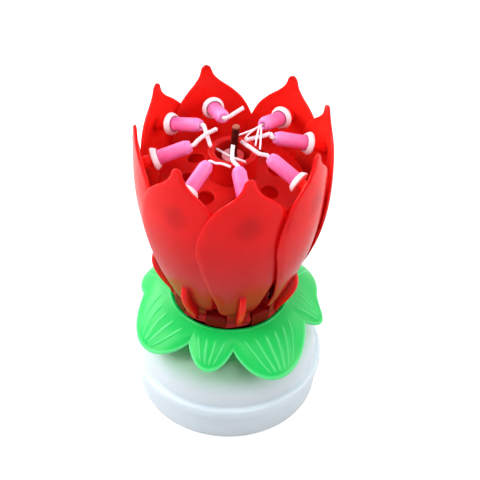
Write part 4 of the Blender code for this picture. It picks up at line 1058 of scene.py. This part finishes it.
def hub():
    """Red hub: spring well and floor turned about the axis, its ears, and bosses for its screws."""
    well_inner = WELL_R - WELL_WALL
    floor_top, well_top = HUB_Z + HUB_FLOOR_T, WELL_FLOOR_Z + HUB_FLOOR_T
    outline = [
        (SHAFT_BORE_R, WELL_FLOOR_Z), (WELL_R, WELL_FLOOR_Z), (WELL_R, HUB_Z), (HUB_R, HUB_Z),
        (HUB_R, floor_top), (well_inner, floor_top), (well_inner, well_top),
        (SHAFT_BORE_R, well_top),
    ]
    ring = turned_ring(outline, EDGE_SOFT, 4, 96)
    ears = [ear(FIRST_AZIMUTH + PITCH * (n + 0.5)) for n in range(PETAL_COUNT)]
    post = [(0, HUB_BOSS_LOW_Z), (HUB_BOSS_R, HUB_BOSS_LOW_Z), (HUB_BOSS_R, HUB_BOSS_TOP_Z),
            (0, HUB_BOSS_TOP_Z)]
    boss = turned(softened(post, EDGE_SOFT), 32) + (0.0, -(WELL_R + HUB_R) / 2, 0.0)
    bosses = [boss @ turn_z(FIRST_AZIMUTH + PITCH * n).T for n in HUB_SCREW_PETALS]
    piece("hub_with_ears", [ring, *ears, *bosses], SHADED_RED_STYRENE, "base", ["hub"])


# Deck

def deck_plate():
    """The holed disc: in each eighth, rings run from the hole's edge out to the eighth's border.

    The border is a box in radius and azimuth, with even points on each side, and each ring's
    point lies on the line from the hole's middle to its border point. The section goes from the
    border over the top, round the hole's edge and back below. Round the outside the two faces
    join by a half circle, and inside the collar by a wall.
    """
    inner, outer = COLLAR_R - DECK_SUNK, DECK_R - DECK_T / 2
    half = pi / PETAL_COUNT
    run, one = np.linspace(-1, 1, DECK_COLUMNS, endpoint=False), np.ones(DECK_COLUMNS)
    border_a = np.concatenate([run, one, -run, -one]) * half
    border_r = (inner + outer) / 2 + np.concatenate([-one, run, one, -run]) * (outer - inner) / 2
    border = np.stack([border_r * np.sin(border_a), border_r * np.cos(border_a)], -1)
    middle = np.array((0.0, DECK_HOLE_RING_R))
    hole = (border - middle) / np.linalg.norm(border - middle, axis=-1, keepdims=True)
    share = np.linspace(1, 0, DECK_ROWS)[:, None, None] ** 1.3
    sheet = (middle + hole * (DECK_HOLE_R + DECK_HOLE_ROUND)) * (1 - share) + border * share
    turn = np.linspace(0, pi, 9)
    inwards = DECK_HOLE_ROUND * np.sin(turn[1:-1, None, None])
    rim = middle + hole * (DECK_HOLE_R + DECK_HOLE_ROUND - inwards)
    flat = np.concatenate([sheet, rim, sheet[::-1]])
    top, below = np.zeros(DECK_ROWS), np.ones(DECK_ROWS)
    depth = np.concatenate([top, (1 - np.cos(turn[1:-1])) / 2, below])[:, None] * DECK_T
    height = deck_top(np.linalg.norm(flat, axis=-1)) - depth
    sector = np.concatenate([flat, height[..., None]], -1)
    angle = np.linspace(-half, 2 * pi - half, DECK_COLUMNS * PETAL_COUNT, endpoint=False)
    bend = turn[:, None]
    outside = (outer + DECK_T / 2 * np.sin(bend), deck_top(outer) - DECK_T / 2 * (1 - np.cos(bend)))
    inside = (np.full((2, 1), inner), deck_top(inner) - np.array([[0.0], [DECK_T]]))
    rings = [np.stack([r * np.sin(angle), r * np.cos(angle), z + 0 * angle], -1)
             for r, z in (outside, inside)]
    turns = [turn_z(FIRST_AZIMUTH + 180 + PITCH * n).T for n in range(PETAL_COUNT)]
    return [sector @ turn for turn in turns] + [ring @ turns[0] for ring in rings]


def deck_top(radius):
    """Height of the deck's upper face, a shallow cone that rises to the collar."""
    return DECK_EDGE_Z + DECK_RISE * (DECK_R - radius) / (DECK_R - COLLAR_R)


def collar_and_column():
    """The round collar on the deck and the column below it, both turned about the axis."""
    inner = COLLAR_R - COLLAR_WALL
    collar = [
        (inner, COLLAR_LOW_Z), (COLLAR_R, COLLAR_LOW_Z), (COLLAR_R, COLLAR_TOP_Z),
        (inner, COLLAR_TOP_Z), (inner, COLLAR_FLOOR_Z),
    ]
    column = [
        (SHAFT_BORE_R, COLUMN_LOW_Z), (COLUMN_R, COLUMN_LOW_Z), (COLUMN_R, COLUMN_HEAD_Z),
        (COLUMN_HEAD_R, COLUMN_HEAD_Z), (COLUMN_HEAD_R, COLLAR_FLOOR_Z),
        (SHAFT_BORE_R, COLLAR_FLOOR_Z),
    ]
    return [turned_ring(collar, COLLAR_ROUND, 7, 96), turned_ring(column, EDGE_SOFT, 4, 64)]


def legs():
    """The column's legs, each a slab with round edges carried down to the hub's floor."""
    angle = np.linspace(0, 2 * pi, 24, endpoint=False)
    box = [np.sign(f) * np.abs(f) ** LEG_BLUNT for f in (np.cos(angle), np.sin(angle))]
    z = np.array([LEG_LOW_Z, COLUMN_LOW_Z + 1])[:, None]
    x = COLUMN_R - LEG_T / 2 + LEG_T / 2 * box[0] + 0 * z
    y = LEG_W / 2 * box[1] + 0 * z
    leg = capped(np.stack([x, y, z + 0 * x], -1))
    turns = [180 / LEG_COUNT + n * 360 / LEG_COUNT for n in range(LEG_COUNT)]
    return [leg @ turn_z(turn).T for turn in turns]


def deck():
    """The deck with its collar, column and legs."""
    shells = deck_plate() + collar_and_column() + legs()
    piece("deck_and_collar", shells, DUSTY_RED_STYRENE, "base", ["deck"])


def sparkler():
    """Rough dark stick with a paler rim, and the thread across the collar."""
    z = np.linspace(STICK_LOW_Z, STICK_TOP_Z, STICK_ROWS)
    grain = np.random.default_rng(3).normal(0, STICK_GRAIN, (STICK_ROWS, STICK_COLUMNS))
    radius = STICK_R + grain
    radius[-3:] = STICK_R * np.array(STICK_END_SHARES)[:, None]
    z[-3:] = STICK_TOP_Z - np.array(STICK_END_DROPS)
    angle = np.linspace(0, 2 * pi, STICK_COLUMNS, endpoint=False)
    aside = STICK_LEAN * ((z - SHAFT_TOP_Z) / (STICK_TOP_Z - SHAFT_TOP_Z)).clip(0)[:, None]
    place = [radius * np.cos(angle) + aside, radius * np.sin(angle), z[:, None] + 0 * radius]
    rim = np.zeros((STICK_ROWS + 2, STICK_COLUMNS))
    rim[-4:] = STICK_RIM
    piece("sparkler_rod", [capped(np.stack(place, -1))], SPARKLER_POWDER, "plunger_unit",
          ["sparkler_stick"], {"rim": rim})
    ends = [(-THREAD_HALF_L, THREAD_Z), (0, THREAD_Z + THREAD_HUMP),
            (THREAD_HALF_L, COLLAR_TOP_Z + THREAD_R)]
    ends = np.array([(x + THREAD_SLID, -THREAD_OFFSET, z) for x, z in ends])
    line = smooth_line(ends @ turn_z(THREAD_AZIMUTH).T, 30)
    piece("cotton_thread", twisted(line, THREAD_R, THREAD_LAY, count=2), COTTON, "plunger_unit",
          ["release_thread"])


def carried_nodes():
    """Finishes for the solids that stay as they are."""
    slots = {
        "milky_plastic": MILKY_POLYPROPYLENE, "red_plastic": SHADED_RED_STYRENE,
        "green_plastic": GREEN_POLYETHYLENE, "white_plastic": NATURAL_POLYPROPYLENE,
        "black_plastic": BLACK_ABS, "pink_wax": PINK_WAX, "cotton": COTTON,
        "sparkler_powder": SPARKLER_POWDER, "steel": ZINC_STEEL, "cell_steel": NICKEL_STEEL,
        "brass": BRASS_SHEET, "circuit_board": GREEN_BOARD, "red_vinyl": RED_VINYL,
        "black_vinyl": BLACK_VINYL, "white_vinyl": WHITE_VINYL,
    }
    for part in frame["record"]["subparts"]:
        solid = frame["nodes"][part["node"]]
        solid.data.materials.clear()
        solid.data.materials.append(slots[part["material_slot"]])


def floor():
    """Pale studio floor that shows white to the camera and keeps the object's shadow."""
    made = bpy.data.materials.new("studio_floor_paper")
    tree = empty_tree(made)
    diffuse = node(tree, "ShaderNodeBsdfDiffuse", {"Color": linear("E0E0E0")})
    share = {0: any_ray(tree, "Camera", "Transmission"), 1: FLOOR_GLOW}
    level = node(tree, "ShaderNodeMath", share, operation="MULTIPLY")
    glow = node(tree, "ShaderNodeEmission", {"Strength": level.outputs[0]})
    both = node(tree, "ShaderNodeAddShader", {0: diffuse.outputs[0], 1: glow.outputs[0]})
    node(tree, "ShaderNodeOutputMaterial", {"Surface": both.outputs[0]})
    mesh = bpy.data.meshes.new("studio_floor")
    half = FLOOR_HALF_M
    corners = [(-half, -half, 0), (half, -half, 0), (half, half, 0), (-half, half, 0)]
    mesh.from_pydata(corners, [], [(0, 1, 2, 3)])
    mesh.materials.append(made)
    plane = placed("studio_floor", mesh)
    plane.location.z = cad_box[0].z - FLOOR_DROP_M


def lights():
    """Even white surroundings, which light the object less than they show, and the lamps.

    A large key lamp stands at the upper left, with a weak fill, a top lamp and two behind.
    """
    world = bpy.data.worlds.new("studio")
    bpy.context.scene.world = world
    tree = empty_tree(world)
    clear = any_ray(tree, "Camera", "Glossy", "Transmission")
    level = node(tree, "ShaderNodeMapRange", {"Value": clear, "To Min": SKY_LIGHT, "To Max": 1.0})
    white = {"Color": (1, 1, 1, 1), "Strength": level.outputs["Result"]}
    sky = node(tree, "ShaderNodeBackground", white)
    node(tree, "ShaderNodeOutputWorld", {"Surface": sky.outputs[0]})
    for name, place, size, power in LAMPS:
        lamp = bpy.data.lights.new(name, "AREA")
        lamp.size = size
        lamp.energy = power
        made = placed(name, lamp)
        made.location = place
        towards = Vector(LAMP_AIM) - Vector(place)
        made.rotation_euler = towards.to_track_quat("-Z", "Y").to_euler()


def camera():
    """The photograph's view: aims at CAMERA_AIM from the front and above, rolled a little."""
    lens = bpy.data.cameras.new("camera")
    lens.lens = LENS
    lens.sensor_width = SENSOR
    made = placed("camera", lens)
    tilt = Matrix.Rotation(radians(90 - CAMERA_ELEVATION), 4, "X")
    turn = tilt @ Matrix.Rotation(radians(CAMERA_ROLL), 4, "Z")
    place = Vector(CAMERA_AIM) * MM + turn @ Vector((0, 0, CAMERA_DISTANCE * MM))
    made.matrix_world = Matrix.Translation(place) @ turn
    bpy.context.scene.camera = made


camera()
carried_nodes()
petals()
base_shell()
calyx()
hub()
deck()
sparkler()
floor()
lights()
bpy.context.scene.view_settings.view_transform = "Standard"
